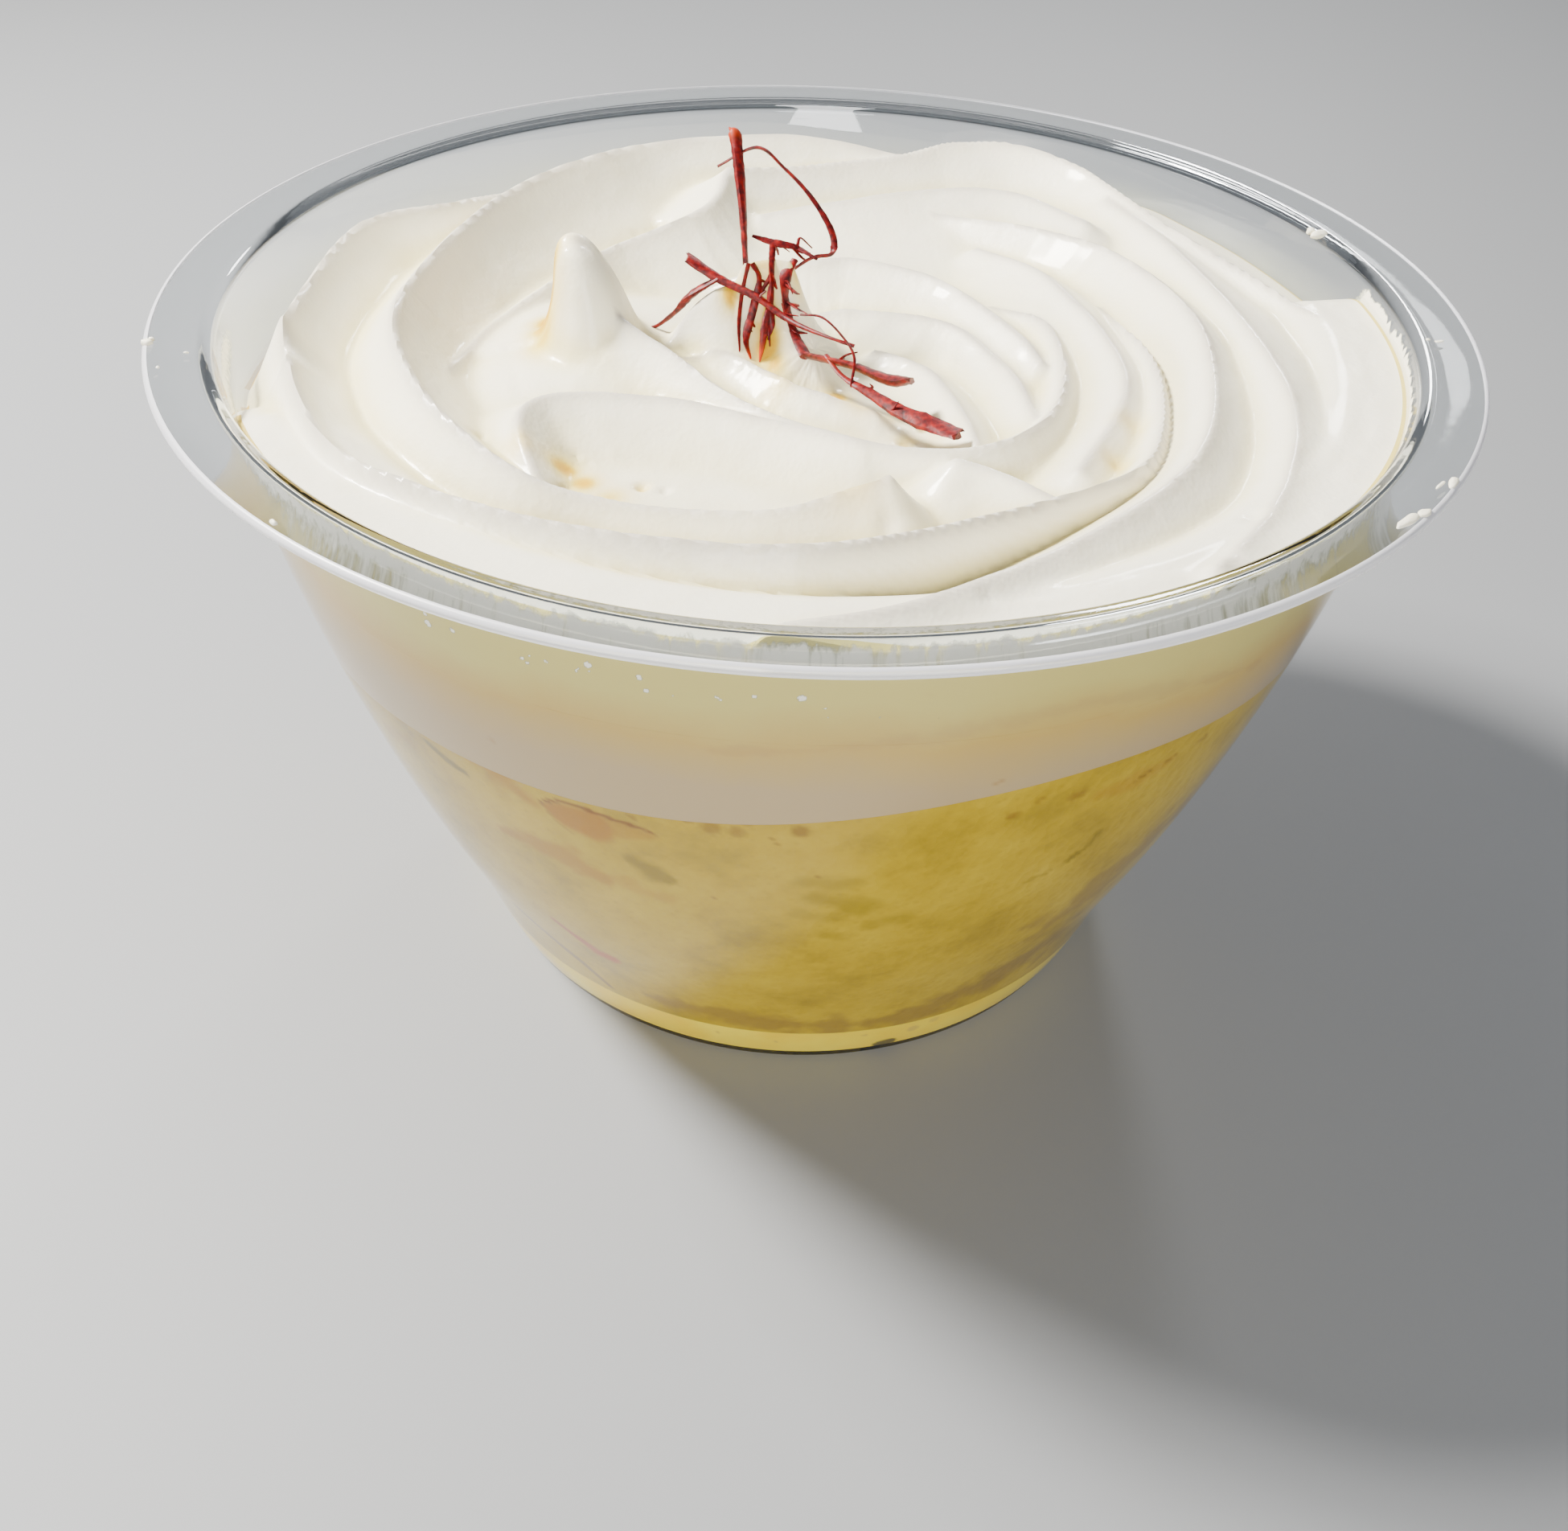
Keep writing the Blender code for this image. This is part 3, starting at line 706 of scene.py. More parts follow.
# --- the cup -------------------------------------------------------------------------------
@dataclass
class Cup:
    """The clear cup: flat rim, curved shoulder and wall, foot with a shallow recess."""

    height: float = 65.0
    rim_radius: float = 57.5
    rim_thickness: float = 0.9
    wall_thickness: float = 1.0
    shoulder_radius: float = 1.0
    foot_corner: float = 0.5
    floor_thickness: float = 1.2
    recess_radius: float = 29.5
    recess_depth: float = 0.4
    neck_fillet: float = 0.8
    wall_heights: tuple[float, ...] = (0.0, 3.0, 10.0, 20.0, 32.0, 46.0, 64.0)
    wall_radii: tuple[float, ...] = (33.5, 34.6, 37.0, 41.05, 45.2, 49.1, 52.6)
    steps: int = 192
    edge_width: float = 0.45
    finish: ClearPlastic = field(default_factory=ClearPlastic)
    edge_finish: TrimmedEdge = field(default_factory=TrimmedEdge)

    def outer_radius(self, z: np.ndarray | float) -> np.ndarray:
        """Smooth radius of the wall's outside at a height, both in mm.

        Args:
            z: heights.

        Returns:
            Radii, from a cubic through the wall's named points.
        """
        heights, radii = np.array(self.wall_heights), np.array(self.wall_radii)
        slopes = np.gradient(radii, heights)
        z = np.clip(z, heights[0], heights[-1])
        i = np.clip(np.searchsorted(heights, z, side="right") - 1, 0, len(heights) - 2)
        span = heights[i + 1] - heights[i]
        t = (z - heights[i]) / span
        start = (1 + 2 * t) * (1 - t) ** 2 * radii[i] + t * (1 - t) ** 2 * span * slopes[i]
        end = t * t * (3 - 2 * t) * radii[i + 1] - t * t * (1 - t) * span * slopes[i + 1]
        return start + end

    def inner_radius(self, z: np.ndarray | float) -> np.ndarray:
        """Radius of the wall's inside at a height, both in mm."""
        return self.outer_radius(z) - self.wall_thickness

    def profile(self) -> list[tuple[float, float]]:
        """The rings of the shell, from the recess outwards, up, over the rim and down."""
        under = self.height - self.rim_thickness
        neck = self.wall_radii[-1]
        foot = self.wall_radii[0]
        corner = [(foot - self.foot_corner + self.foot_corner * math.sin(a),
                   self.foot_corner * (1 - math.cos(a)))
                  for a in np.linspace(0.0, math.pi / 2, 5)]
        outside = [(float(self.outer_radius(z)), float(z))
                   for z in np.arange(2.0, under - 1.0, 2.0)]
        fillet = self.neck_fillet
        neck_fillet = [(neck + fillet * (1 - math.cos(a)), under - fillet * (1 - math.sin(a)))
                       for a in np.linspace(0.0, math.pi / 2, 6)]
        edge = self.rim_thickness / 2
        rim_edge = [(self.rim_radius - edge + edge * math.cos(a),
                     self.height - edge + edge * math.sin(a))
                    for a in np.linspace(-math.pi / 2, math.pi / 2, 9)]
        shoulder = self.shoulder_radius
        inner_neck = neck - self.wall_thickness
        bend = [(inner_neck + shoulder * (1 - math.cos(a)) + 0.4,
                 self.height - shoulder * (1 - math.sin(a)))
                for a in np.linspace(math.pi / 2, 0.0, 7)]
        inside = [(float(self.inner_radius(z)), float(z))
                  for z in np.arange(self.height - 3.0, self.floor_thickness + 1.0, -2.0)]
        floor = self.floor_thickness
        rings = [(self.recess_radius - self.recess_depth, self.recess_depth),
                 (self.recess_radius, 0.0), *corner, *outside, *neck_fillet, *rim_edge,
                 *bend, *inside, (float(self.inner_radius(floor)) - 0.1, floor)]
        return rings

    def build(self) -> bpy.types.Object:
        """Make the shell and hide the plain one."""
        shell = lathe("clear_cup", self.profile(), self.steps)
        centers = face_centers(shell)
        reach = np.hypot(centers[:, 0], centers[:, 1])
        paint_faces(shell, reach > self.rim_radius - self.edge_width, 1)
        return publish(shell, [self.finish.material(), self.edge_finish.material()],
                       Slot.CLEAR_PLASTIC, "cup")


# --- food surfaces -------------------------------------------------------------------------
class Wave(NamedTuple):
    """One wave of a layer's edge: height in mm, waves per turn, phase in degrees."""

    height: float
    count: int
    phase: float


@dataclass
class Levels:
    """Where one food ends and the next begins, in mm."""

    cup: Cup
    milk: float = 5.5
    cake: float = 44.0
    cream: float = 53.0
    cake_waves: tuple[Wave, ...] = (Wave(2.6, 1, 20.0), Wave(1.6, 2, -150.0), Wave(0.8, 5, 40.0))
    cream_waves: tuple[Wave, ...] = (Wave(0.7, 1, 30.0), Wave(0.5, 3, 80.0))

    def waves(self, x: np.ndarray, y: np.ndarray, level: float,
              terms: Sequence[Wave]) -> np.ndarray:
        """Height of a layer's edge, with waves that fade to the middle.

        Args:
            x: places in mm.
            y: places in mm.
            level: mean height.
            terms: the waves.

        Returns:
            Heights in mm.
        """
        angle = np.arctan2(y, x)
        reach = np.hypot(x, y) / self.cup.inner_radius(level)
        total = np.full_like(reach, level)
        for term in terms:
            total += term.height * reach**2 * np.cos(term.count * angle
                                                     - math.radians(term.phase))
        return total

    def floor(self, x: np.ndarray, y: np.ndarray) -> np.ndarray:
        """The cup's floor."""
        return np.full_like(x, self.cup.floor_thickness - 0.1)

    def milk_top(self, x: np.ndarray, y: np.ndarray) -> np.ndarray:
        """Level of the milk in the foot."""
        return np.full_like(x, self.milk)

    def cake_top(self, x: np.ndarray, y: np.ndarray) -> np.ndarray:
        """Uneven top of the sponge."""
        return self.waves(x, y, self.cake, self.cake_waves)

    def cream_top(self, x: np.ndarray, y: np.ndarray) -> np.ndarray:
        """Top of the cream layer."""
        return self.waves(x, y, self.cream, self.cream_waves)


class Rings(NamedTuple):
    """How many rings a plug has on its top, side and underside."""

    top: int
    side: int
    bottom: int


@dataclass
class Plug:
    """A body of food that fills the cup between two surfaces and reaches into its wall."""

    name: str
    cup: Cup
    bottom: Surface
    top: Surface
    rings: Rings
    steps: int
    bite: float = 0.15

    def build(self) -> bpy.types.Object:
        """Wrap a grid round the axis: over the top, down the side and under.

        Returns:
            The closed mesh.
        """
        rows = sum(self.rings)
        obj, share = wrapped_grid(self.name, self.steps, rows)
        ring = np.rint(share[:, 1] * rows)
        angle = np.rint(share[:, 0] * self.steps) % self.steps / self.steps * 2 * np.pi
        top, side, bottom = self.rings
        out = np.interp(ring, [0, top, top + side, rows], [0, 1, 1, 0])
        along = np.interp(ring, [0, top, top + side, rows], [1, 1, 0, 0])
        full = np.full_like(angle, self.cup.inner_radius(50.0))
        for _ in range(4):
            x, y = full * np.cos(angle), full * np.sin(angle)
            low = self.bottom(x, y)
            full = self.cup.inner_radius(low + (self.top(x, y) - low) * along) + self.bite
        radius = out * full
        x, y = radius * np.cos(angle), radius * np.sin(angle)
        low = self.bottom(x, y)
        height = low + (self.top(x, y) - low) * along
        set_points(obj, np.column_stack([x, y, height]))
        close_wrap(obj)
        return obj


class Streak(NamedTuple):
    """A stain on the cup's side: knots (angle, height in mm, half width in mm), how strong it
    is and how softly it ends."""

    knots: tuple
    strength: float = 1.0
    soft: float = 0.6


def streak_cover(points: np.ndarray, streaks: Sequence[Streak], seed: int) -> np.ndarray:
    """How much the points lie in any of the streaks, with ragged edges.

    Args:
        points: places in mm, one row each.
        streaks: the stains.
        seed: picks the raggedness.

    Returns:
        0 outside to 1 inside, for each point.
    """
    angle = np.degrees(np.arctan2(points[:, 1], points[:, 0]))
    radius = np.hypot(points[:, 0], points[:, 1])
    ragged = 0.7 * layered_noise(points, 2.2, seed)
    total = np.zeros(len(points))
    for streak in streaks:
        knots = [*streak.knots, streak.knots[-1]]
        for (a0, z0, w0), (a1, z1, w1) in zip(knots, knots[1:]):
            x = np.radians(angle_gap(angle, a0)) * radius
            y = points[:, 2] - z0
            dx, dy = np.radians(a1 - a0) * radius, z1 - z0
            along = np.clip((x * dx + y * dy) / np.maximum(dx * dx + dy * dy, 1e-9), 0.0, 1.0)
            off = np.hypot(x - along * dx, y - along * dy) / (w0 + along * (w1 - w0))
            inside = smoothstep((1.0 - off) / streak.soft + 0.5 + ragged * streak.soft)
            total = np.maximum(total, streak.strength * inside)
    return total


@dataclass
class MilkPool:
    """The saffron milk that shows as a bright ring at the foot."""

    levels: Levels
    finish: SaffronMilk = field(default_factory=SaffronMilk)
    bubbles: tuple[Streak, ...] = (
        Streak(((-68.9, 3.8, 0.6),), 0.8), Streak(((-65.4, 4.6, 0.5),), 0.6),
        Streak(((-77.2, 4.3, 0.25),), 0.7), Streak(((-101.0, 3.9, 0.3),), 0.7),
        Streak(((-91.5, 3.4, 0.25),), 0.9), Streak(((40.0, 3.5, 0.6),), 0.7),
        Streak(((118.0, 4.0, 0.5),), 0.7))
    notch: tuple[Streak, ...] = (
        Streak(((-73.9, 1.5, 0.75), (-72.3, 1.7, 0.75)), 1.0, 0.35),)

    def build(self) -> bpy.types.Object:
        """Make the pool in place of its plain solid."""
        pool = Plug("milk_pool", self.levels.cup, self.levels.floor, self.levels.milk_top,
                    Rings(6, 22, 6), 720).build()
        points = points_of(pool)
        set_attribute(pool, "bubble", streak_cover(points, self.bubbles, 31))
        set_attribute(pool, "notch", streak_cover(points, self.notch, 32))
        return publish(pool, [self.finish.material()], Slot.SAFFRON_MILK, "saffron_milk")


SPONGE_STAINS = {
    "rose": (
        Streak(((-112, 8.4, 0.8), (-99, 8.4, 1.4), (-90, 7.6, 1.5), (-80, 7.0, 1.6),
                (-70, 8.0, 1.8), (-60, 10.0, 2.0), (-50, 13.0, 2.5)), 0.75, 1.4),
        Streak(((-55, 20, 2.0), (-46, 25, 3.0), (-38, 30, 3.0), (-30, 34, 2.0)), 0.6, 1.6),
        Streak(((-134, 13.9, 0.3), (-128.7, 11.9, 0.5), (-123, 9.4, 0.5), (-119, 6.6, 0.3)), 0.9),
        Streak(((20, 9, 1.5), (60, 8, 2.0), (100, 9, 1.5)), 0.7, 1.4),
        Streak(((140, 9, 1.5), (175, 8, 2.0), (205, 9, 1.5)), 0.7, 1.4)),
    "olive": (
        Streak(((-106, 35.8, 0.7), (-104.4, 34.6, 1.1), (-102.5, 34.0, 0.6)), 0.75, 1.2),
        Streak(((-89, 36.0, 0.8), (-84.5, 35.9, 1.0)), 0.4, 1.4),
        Streak(((-87.5, 33.4, 1.0), (-83, 32.2, 1.2)), 0.5, 1.4),
        Streak(((-88.5, 30.8, 0.7), (-85, 30.4, 0.8)), 0.35, 1.4),
        Streak(((-86, 27.2, 0.8), (-84, 26.7, 0.8)), 0.4, 1.4),
        Streak(((-81, 29.0, 0.8), (-78, 29.4, 0.8)), 0.35, 1.4),
        Streak(((-129.6, 41.2, 0.3), (-127.2, 40.2, 0.6), (-124.6, 39.7, 0.4)), 0.95, 0.7),
        Streak(((-59.6, 33.2, 0.4), (-58.8, 33.9, 0.5)), 0.8, 0.8),
        Streak(((-57.9, 34.1, 0.25), (-57.2, 36.3, 0.35)), 0.7, 0.8),
        Streak(((-64.5, 31.7, 0.3), (-61.5, 32.4, 0.2)), 0.4, 0.8),
        Streak(((60, 30, 1.4), (70, 28, 1.8), (78, 29, 1.0)), 0.6, 1.4),
        Streak(((150, 33, 1.2), (158, 32, 1.6)), 0.6, 1.4)),
    "yolk": (
        Streak(((-124, 43.0, 0.5), (-119.4, 43.4, 1.4), (-118.2, 41.8, 1.8),
                (-116.6, 40.0, 1.0)), 0.9, 1.3),
        Streak(((-122.5, 33.0, 0.6), (-118.2, 33.2, 1.2), (-113.6, 33.0, 1.4),
                (-110.5, 31.9, 0.9)), 0.85, 1.3),
        Streak(((-108, 31.6, 0.8), (-104, 30.9, 0.8)), 0.35, 1.4),
        Streak(((-60, 42.8, 0.6), (-56, 42.6, 0.9), (-52, 43.5, 0.6)), 0.5, 1.3),
        Streak(((-139, 37.2, 0.6), (-134, 39.0, 0.8)), 0.4, 1.3),
        Streak(((20, 36, 1.5), (30, 37, 2.0)), 0.6, 1.3),
        Streak(((95, 40, 1.2), (104, 38, 2.0), (110, 37, 1.0)), 0.7, 1.3)),
    "pocket": (
        Streak(((-114.6, 40.2, 0.35), (-112.4, 39.7, 1.6), (-109.6, 39.5, 1.9)), 0.85, 0.5),
        Streak(((-109.6, 39.6, 1.6), (-106.6, 39.9, 1.2), (-103.6, 40.0, 0.5)), 0.45, 0.7)),
    "bubble": (
        Streak(((-99.8, 43.0, 0.35),), 0.8, 0.8), Streak(((-97.6, 42.6, 0.75),), 0.75, 0.7),
        Streak(((-95.2, 42.4, 0.6),), 0.7, 0.8), Streak(((-94.2, 43.6, 0.4),), 0.5, 0.8),
        Streak(((-89.4, 43.0, 0.75),), 0.9, 0.6), Streak(((-92.0, 41.8, 0.2),), 0.8, 0.6),
        Streak(((-91.6, 41.2, 0.2),), 0.8, 0.6), Streak(((-87.4, 36.9, 0.2),), 0.9, 0.6),
        Streak(((-110.4, 42.8, 0.15), (-108.6, 42.6, 0.15)), 0.8, 0.6),
        Streak(((-105.6, 42.2, 0.25), (-104.8, 42.0, 0.2)), 0.8, 0.6),
        Streak(((-98.0, 32.4, 0.2),), 0.8, 0.6),
        Streak(((-69.8, 42.9, 0.3), (-69.2, 43.0, 0.25)), 0.8, 0.6),
        Streak(((-67.6, 44.2, 0.25), (-66.8, 44.4, 0.2)), 0.7, 0.7),
        Streak(((-63.4, 43.6, 0.6), (-62.6, 43.8, 0.5)), 0.7, 0.7),
        Streak(((-56.0, 42.7, 0.2), (-54.6, 43.2, 0.25)), 0.9, 0.6),
        Streak(((-52.4, 43.6, 0.2), (-51.4, 43.9, 0.2)), 0.7, 0.6),
        Streak(((-48.2, 44.0, 0.3), (-47.4, 44.4, 0.25)), 0.7, 0.6),
        Streak(((-132.6, 40.5, 0.2), (-131.8, 40.8, 0.2)), 0.7, 0.6),
        Streak(((-125.0, 42.4, 0.25), (-124.0, 42.6, 0.2)), 0.8, 0.6),
        Streak(((-120.2, 43.4, 0.3),), 0.8, 0.6)),
    "orange": (
        Streak(((-122.8, 18.2, 0.4), (-120.0, 16.7, 0.65), (-117.2, 15.0, 1.0),
                (-115.2, 14.6, 0.8)), 1.0, 0.9),
        Streak(((60, 22, 0.3), (63, 21, 0.5)), 0.8, 0.9)),
    "outline": (
        Streak(((-115.2, 40.5, 0.12), (-113.0, 41.5, 0.2), (-110.8, 41.7, 0.22),
                (-107.4, 41.2, 0.22), (-104.6, 40.9, 0.2), (-102.7, 40.3, 0.12)), 0.85, 0.8),
        Streak(((-115.0, 40.2, 0.1), (-114.2, 38.7, 0.12), (-112.2, 37.3, 0.1)), 0.35, 1.0)),
}


@dataclass
class Sponge:
    """The soaked sponge cake."""

    levels: Levels
    finish: SoakedSponge = field(default_factory=SoakedSponge)

    def build(self) -> bpy.types.Object:
        """Make the sponge in place of its plain solid."""
        cake = Plug("sponge", self.levels.cup, self.levels.milk_top, self.levels.cake_top,
                    Rings(6, 104, 4), 720).build()
        points = points_of(cake)
        for seed, (name, streaks) in enumerate(SPONGE_STAINS.items()):
            set_attribute(cake, name, streak_cover(points, streaks, 11 + seed))
        return publish(cake, [self.finish.material()], Slot.SOAKED_SPONGE, "sponge_cake")


@dataclass
class CreamLayer:
    """The cream between the sponge and the piped swirl."""

    levels: Levels
    finish: ShadedWallCream = field(default_factory=ShadedWallCream)
    lap: float = 0.4

    def bottom(self, x: np.ndarray, y: np.ndarray) -> np.ndarray:
        """Underside, a little way into the sponge."""
        return self.levels.cake_top(x, y) - self.lap

    def build(self) -> bpy.types.Object:
        """Make the layer in place of its plain solid."""
        layer = Plug("cream_layer_skin", self.levels.cup, self.bottom, self.levels.cream_top,
                     Rings(6, 34, 4), 720, bite=0.12).build()
        dress_wall_cream(layer)
        return publish(layer, [self.finish.material()], Slot.WHIPPED_CREAM, "cream_layer")


WALL_VEINS = (
    Streak(((-97, 51.8, 0.3), (-89, 52.6, 0.4), (-82.9, 53.6, 0.5), (-74, 54.6, 0.5),
            (-65.7, 54.9, 0.45), (-55, 53.4, 0.4), (-45, 51.4, 0.3)), 0.28, 1.8),
    Streak(((-118.6, 46.5, 0.32),), 0.7, 0.6), Streak(((-80.2, 58.0, 0.2),), 0.9, 0.6),
    Streak(((-72.6, 47.5, 0.15), (-71.8, 47.9, 0.15)), 0.8, 0.6),
    Streak(((120, 52, 0.4), (150, 54, 0.5), (180, 52, 0.4)), 0.5, 1.5))


class SpeckBand(NamedTuple):
    """Specks of cream on the wall: how many, and the ranges of their angles, heights and half
    widths in mm."""

    count: int
    angles: tuple[float, float]
    heights: tuple[float, float]
    widths: tuple[float, float]


SPECK_BANDS = (
    SpeckBand(20, (-122, -88), (57, 58.6), (0.1, 0.34)),
    SpeckBand(8, (-112, -62), (50, 57), (0.07, 0.14)),
    SpeckBand(8, (-30, 200), (56.5, 58.5), (0.12, 0.28)))


def wall_specks(seed: int) -> list[Streak]:
    """Draw the specks of every band.

    Args:
        seed: picks their places.

    Returns:
        One short stain for each speck.
    """
    draw = np.random.default_rng(seed)
    return [Streak(((draw.uniform(*band.angles), draw.uniform(*band.heights),
                     draw.uniform(*band.widths)),), 0.8)
            for band in SPECK_BANDS for _ in range(band.count)]


def dress_wall_cream(obj: bpy.types.Object) -> None:
    """Store how high cream on the wall is, and where it has veins."""
    points = points_of(obj)
    angle = np.degrees(np.arctan2(points[:, 1], points[:, 0]))
    rise = (points[:, 2] - 45.5) / 12.5
    rise += 0.10 * layered_noise(points, 16.0, 5)
    edge = smoothstep((angle_gap(angle, -125.0) + 22.0) / 26.0)
    set_attribute(obj, "rise", rise * (0.55 + 0.45 * edge))
    set_attribute(obj, "vein", streak_cover(points, WALL_VEINS, 41))


# --- the piped swirl -----------------------------------------------------------------------
class Flank(NamedTuple):
    """One side of a rib: how far it drops and how quickly, in mm."""

    drop: float
    reach: float


class Rib(NamedTuple):
    """A piped rib: its crest (x, y, z in mm), the flanks left and right of its run, the
    crest's radius in mm, and how bluntly the flanks start."""

    crest: tuple
    left: Flank
    right: Flank
    rounding: float = 0.3
    bluntness: float = 1.0


class Dent(NamedTuple):
    """A small round hollow or bump: place, radius and depth in mm, a bump if negative."""

    x: float
    y: float
    radius: float
    depth: float


class Stain(NamedTuple):
    """A saffron stain on the cream: place and radius in mm, strength."""

    x: float
    y: float
    radius: float
    strength: float


RIBS = {
    "outer_turn": Rib(
        ((-33, 34, 60), (-37.5, 23, 62.8), (-44.5, 15, 63.6), (-45.7, 0, 64), (-45, -11, 64),
         (-38, -27.5, 64), (-29, -35, 64), (-16, -40, 64), (-1, -41.2, 64), (8, -38, 63.7),
         (18.6, -30.8, 62.6), (26, -24.6, 62), (29, -17, 61.7), (30.2, -7, 61.5),
         (29.5, 1, 61), (27, 9.5, 60)),
        Flank(6, 5), Flank(8.5, 3.4)),
    "second_turn": Rib(
        ((8, 39.4, 63.6), (-2, 40.3, 65), (-15, 37.7, 65), (-23, 32.3, 65), (-31, 22.5, 64.7),
         (-36, 6, 64.2), (-36.8, -6.4, 63.6), (-32, -18, 62.8), (-24, -25.7, 60.8),
         (-16, -27.6, 59), (-4, -29.2, 59.4), (3.4, -27.6, 60.9), (6.2, -26.8, 61.7)),
        Flank(7, 6), Flank(6, 5)),
    "back_turn": Rib(
        ((46.2, 4, 62.3), (42, 12, 62.6), (35, 23.7, 63), (28, 36, 64), (21, 41.3, 64.6),
         (14, 41.4, 64.5), (8, 38.8, 63.8), (-2, 35.1, 63.6), (-9.8, 32, 64.2)),
        Flank(4, 4), Flank(9, 4)),
    "inner_step": Rib(
        ((-9.8, 32, 64.2), (-11.8, 24.4, 62.8), (-21.4, 17.5, 60.5), (-28.7, 7.2, 59),
         (-32.3, -6, 58.8), (-31.1, -13, 58.4), (-27.8, -16, 57.5)),
        Flank(4, 4), Flank(3, 4)),
    "right_turn": Rib(
        ((-1.5, -51, 64), (8, -47.4, 64), (20, -37.6, 63.6), (30, -25.3, 63.5), (34, -10, 63.5),
         (33.7, 3.4, 63.5), (27.5, 17.2, 63.2), (16.5, 26, 62), (7, 31, 60)),
        Flank(5, 5), Flank(3, 5)),
    "right_edge": Rib(
        ((29, -41.5, 63.5), (35.7, -30.2, 63.2), (39.8, -16, 63.2), (39, 0, 63.1),
         (34.4, 20, 62.8), (30, 31, 62.6)),
        Flank(2.5, 4), Flank(1.2, 6)),
    "horn": Rib(
        ((-21, 0.2, 68.9), (-20.8, -0.8, 68.5)),
        Flank(8, 3.8), Flank(8, 2.8), 0.2, 3.0),
    "back_rib": Rib(
        ((-6, 27.5, 61), (2, 29, 62.2), (12, 31.5, 62.9), (20, 31, 63), (27, 25, 62.6)),
        Flank(1.5, 2.5), Flank(1.5, 2.5), 0.8),
    "hook": Rib(
        ((-18, -2.5, 63.2), (-13, -5.6, 61.4), (-6.6, -11.3, 60), (2.4, -17.2, 59.8),
         (12.7, -19.1, 60.2), (19.4, -14.3, 60.4), (22.3, -5, 60.4), (21.5, 5.5, 60.3),
         (17, 11.5, 59)),
        Flank(4, 3.5), Flank(5, 5)),
    "petal": Rib(
        ((-18.5, -24.6, 56.6), (-21.6, -24.2, 58.4), (-24.3, -17.5, 60.4), (-21.9, -13.3, 60.6),
         (-13.3, -12.7, 60.4), (-4.9, -14.7, 60), (4.5, -18.2, 59.7)),
        Flank(2.5, 3.5), Flank(5, 7)),
    "fold": Rib(
        ((12, -21.8, 60.6), (15, -22.8, 60.2), (20.5, -26.4, 59.5)),
        Flank(3, 2.6), Flank(3, 3), 1.1),
    "leaf": Rib(
        ((-13.1, -1.3, 58), (-8.1, -1.2, 59), (-1.4, -6.5, 58.8), (5.6, -9.3, 58)),
        Flank(2.5, 3), Flank(3, 4)),
    "eye_rib": Rib(
        ((-14.4, -0.4, 57.8), (-12.9, 1, 59.6), (-12.1, 1.6, 60.9), (-10.9, 2, 62.3),
         (-9.4, 2.2, 63.5), (-8.2, 2.4, 63.9)),
        Flank(4, 3), Flank(5.5, 2.2), 1.0),
    "peak": Rib(
        ((-6.6, 3, 65.8), (-4.4, 3.2, 66.1), (-2.6, 2.8, 66.2)),
        Flank(8, 2), Flank(9, 3), 0.6),
    "inner_turn": Rib(
        ((-11, 16.6, 57.5), (-6.5, 16.2, 59.5), (-1, 15.8, 60.9), (4, 16, 61.4),
         (11.9, 11.8, 61.3), (18.3, 2.4, 60.8), (20.5, -2, 60)),
        Flank(2.5, 3.5), Flank(2.5, 3)),
    "third_turn": Rib(
        ((-4, 7, 57.2), (-0.5, 8, 58.8), (4.4, 8.3, 59.6), (12.5, 5.4, 59.8), (17.4, -2.4, 59.4),
         (19.4, -10.9, 59)),
        Flank(2, 3), Flank(2.2, 3)),
    "eye_turn": Rib(
        ((5.7, 3, 58), (10.3, -1.8, 58.8), (13.1, -10.5, 58.8), (14.1, -14.9, 58.4)),
        Flank(1.8, 3), Flank(2, 2.5)),
    "right_rib": Rib(
        ((16, 22, 60.5), (22, 13.7, 61.6), (26.7, 0, 61.3), (26.8, -10.4, 61.2), (22, -21.5, 60)),
        Flank(1.5, 3), Flank(2, 3)),
}


class HeightMap:
    """A square map of a surface's heights, which tells ridges from valleys."""

    def __init__(self, surface: Surface, half: float = 54.0, step: float = 0.4) -> None:
        """Sample the surface.

        Args:
            surface: gives the height of each place, in mm.
            half: half the map's width in mm.
            step: distance of its samples in mm.
        """
        self.half, self.step = half, step
        ticks = np.arange(-half, half + step, step)
        x, y = np.meshgrid(ticks, ticks)
        self.level = surface(x.ravel(), y.ravel()).reshape(x.shape)

    def relief(self, x: np.ndarray, y: np.ndarray, width: float) -> np.ndarray:
        """How far places stand above the mean level round them.

        Args:
            x: places in mm.
            y: places in mm.
            width: half the width of the square that the mean is taken over, in mm.

        Returns:
            Heights in mm, negative in valleys.
        """
        reach = max(1, round(width / self.step))
        kernel = np.full(2 * reach + 1, 1.0 / (2 * reach + 1))
        mean = np.pad(self.level, reach, mode="edge")
        for axis in (0, 1):
            mean = np.apply_along_axis(np.convolve, axis, mean, kernel, "valid")
        above = self.level - mean
        last = len(above) - 2
        column, row = (x + self.half) / self.step, (y + self.half) / self.step
        i, j = np.clip(row.astype(int), 0, last), np.clip(column.astype(int), 0, last)
        u, v = np.clip(row - i, 0.0, 1.0), np.clip(column - j, 0.0, 1.0)
        near = above[i, j] * (1 - v) + above[i, j + 1] * v
        far = above[i + 1, j] * (1 - v) + above[i + 1, j + 1] * v
        return near * (1 - u) + far * u


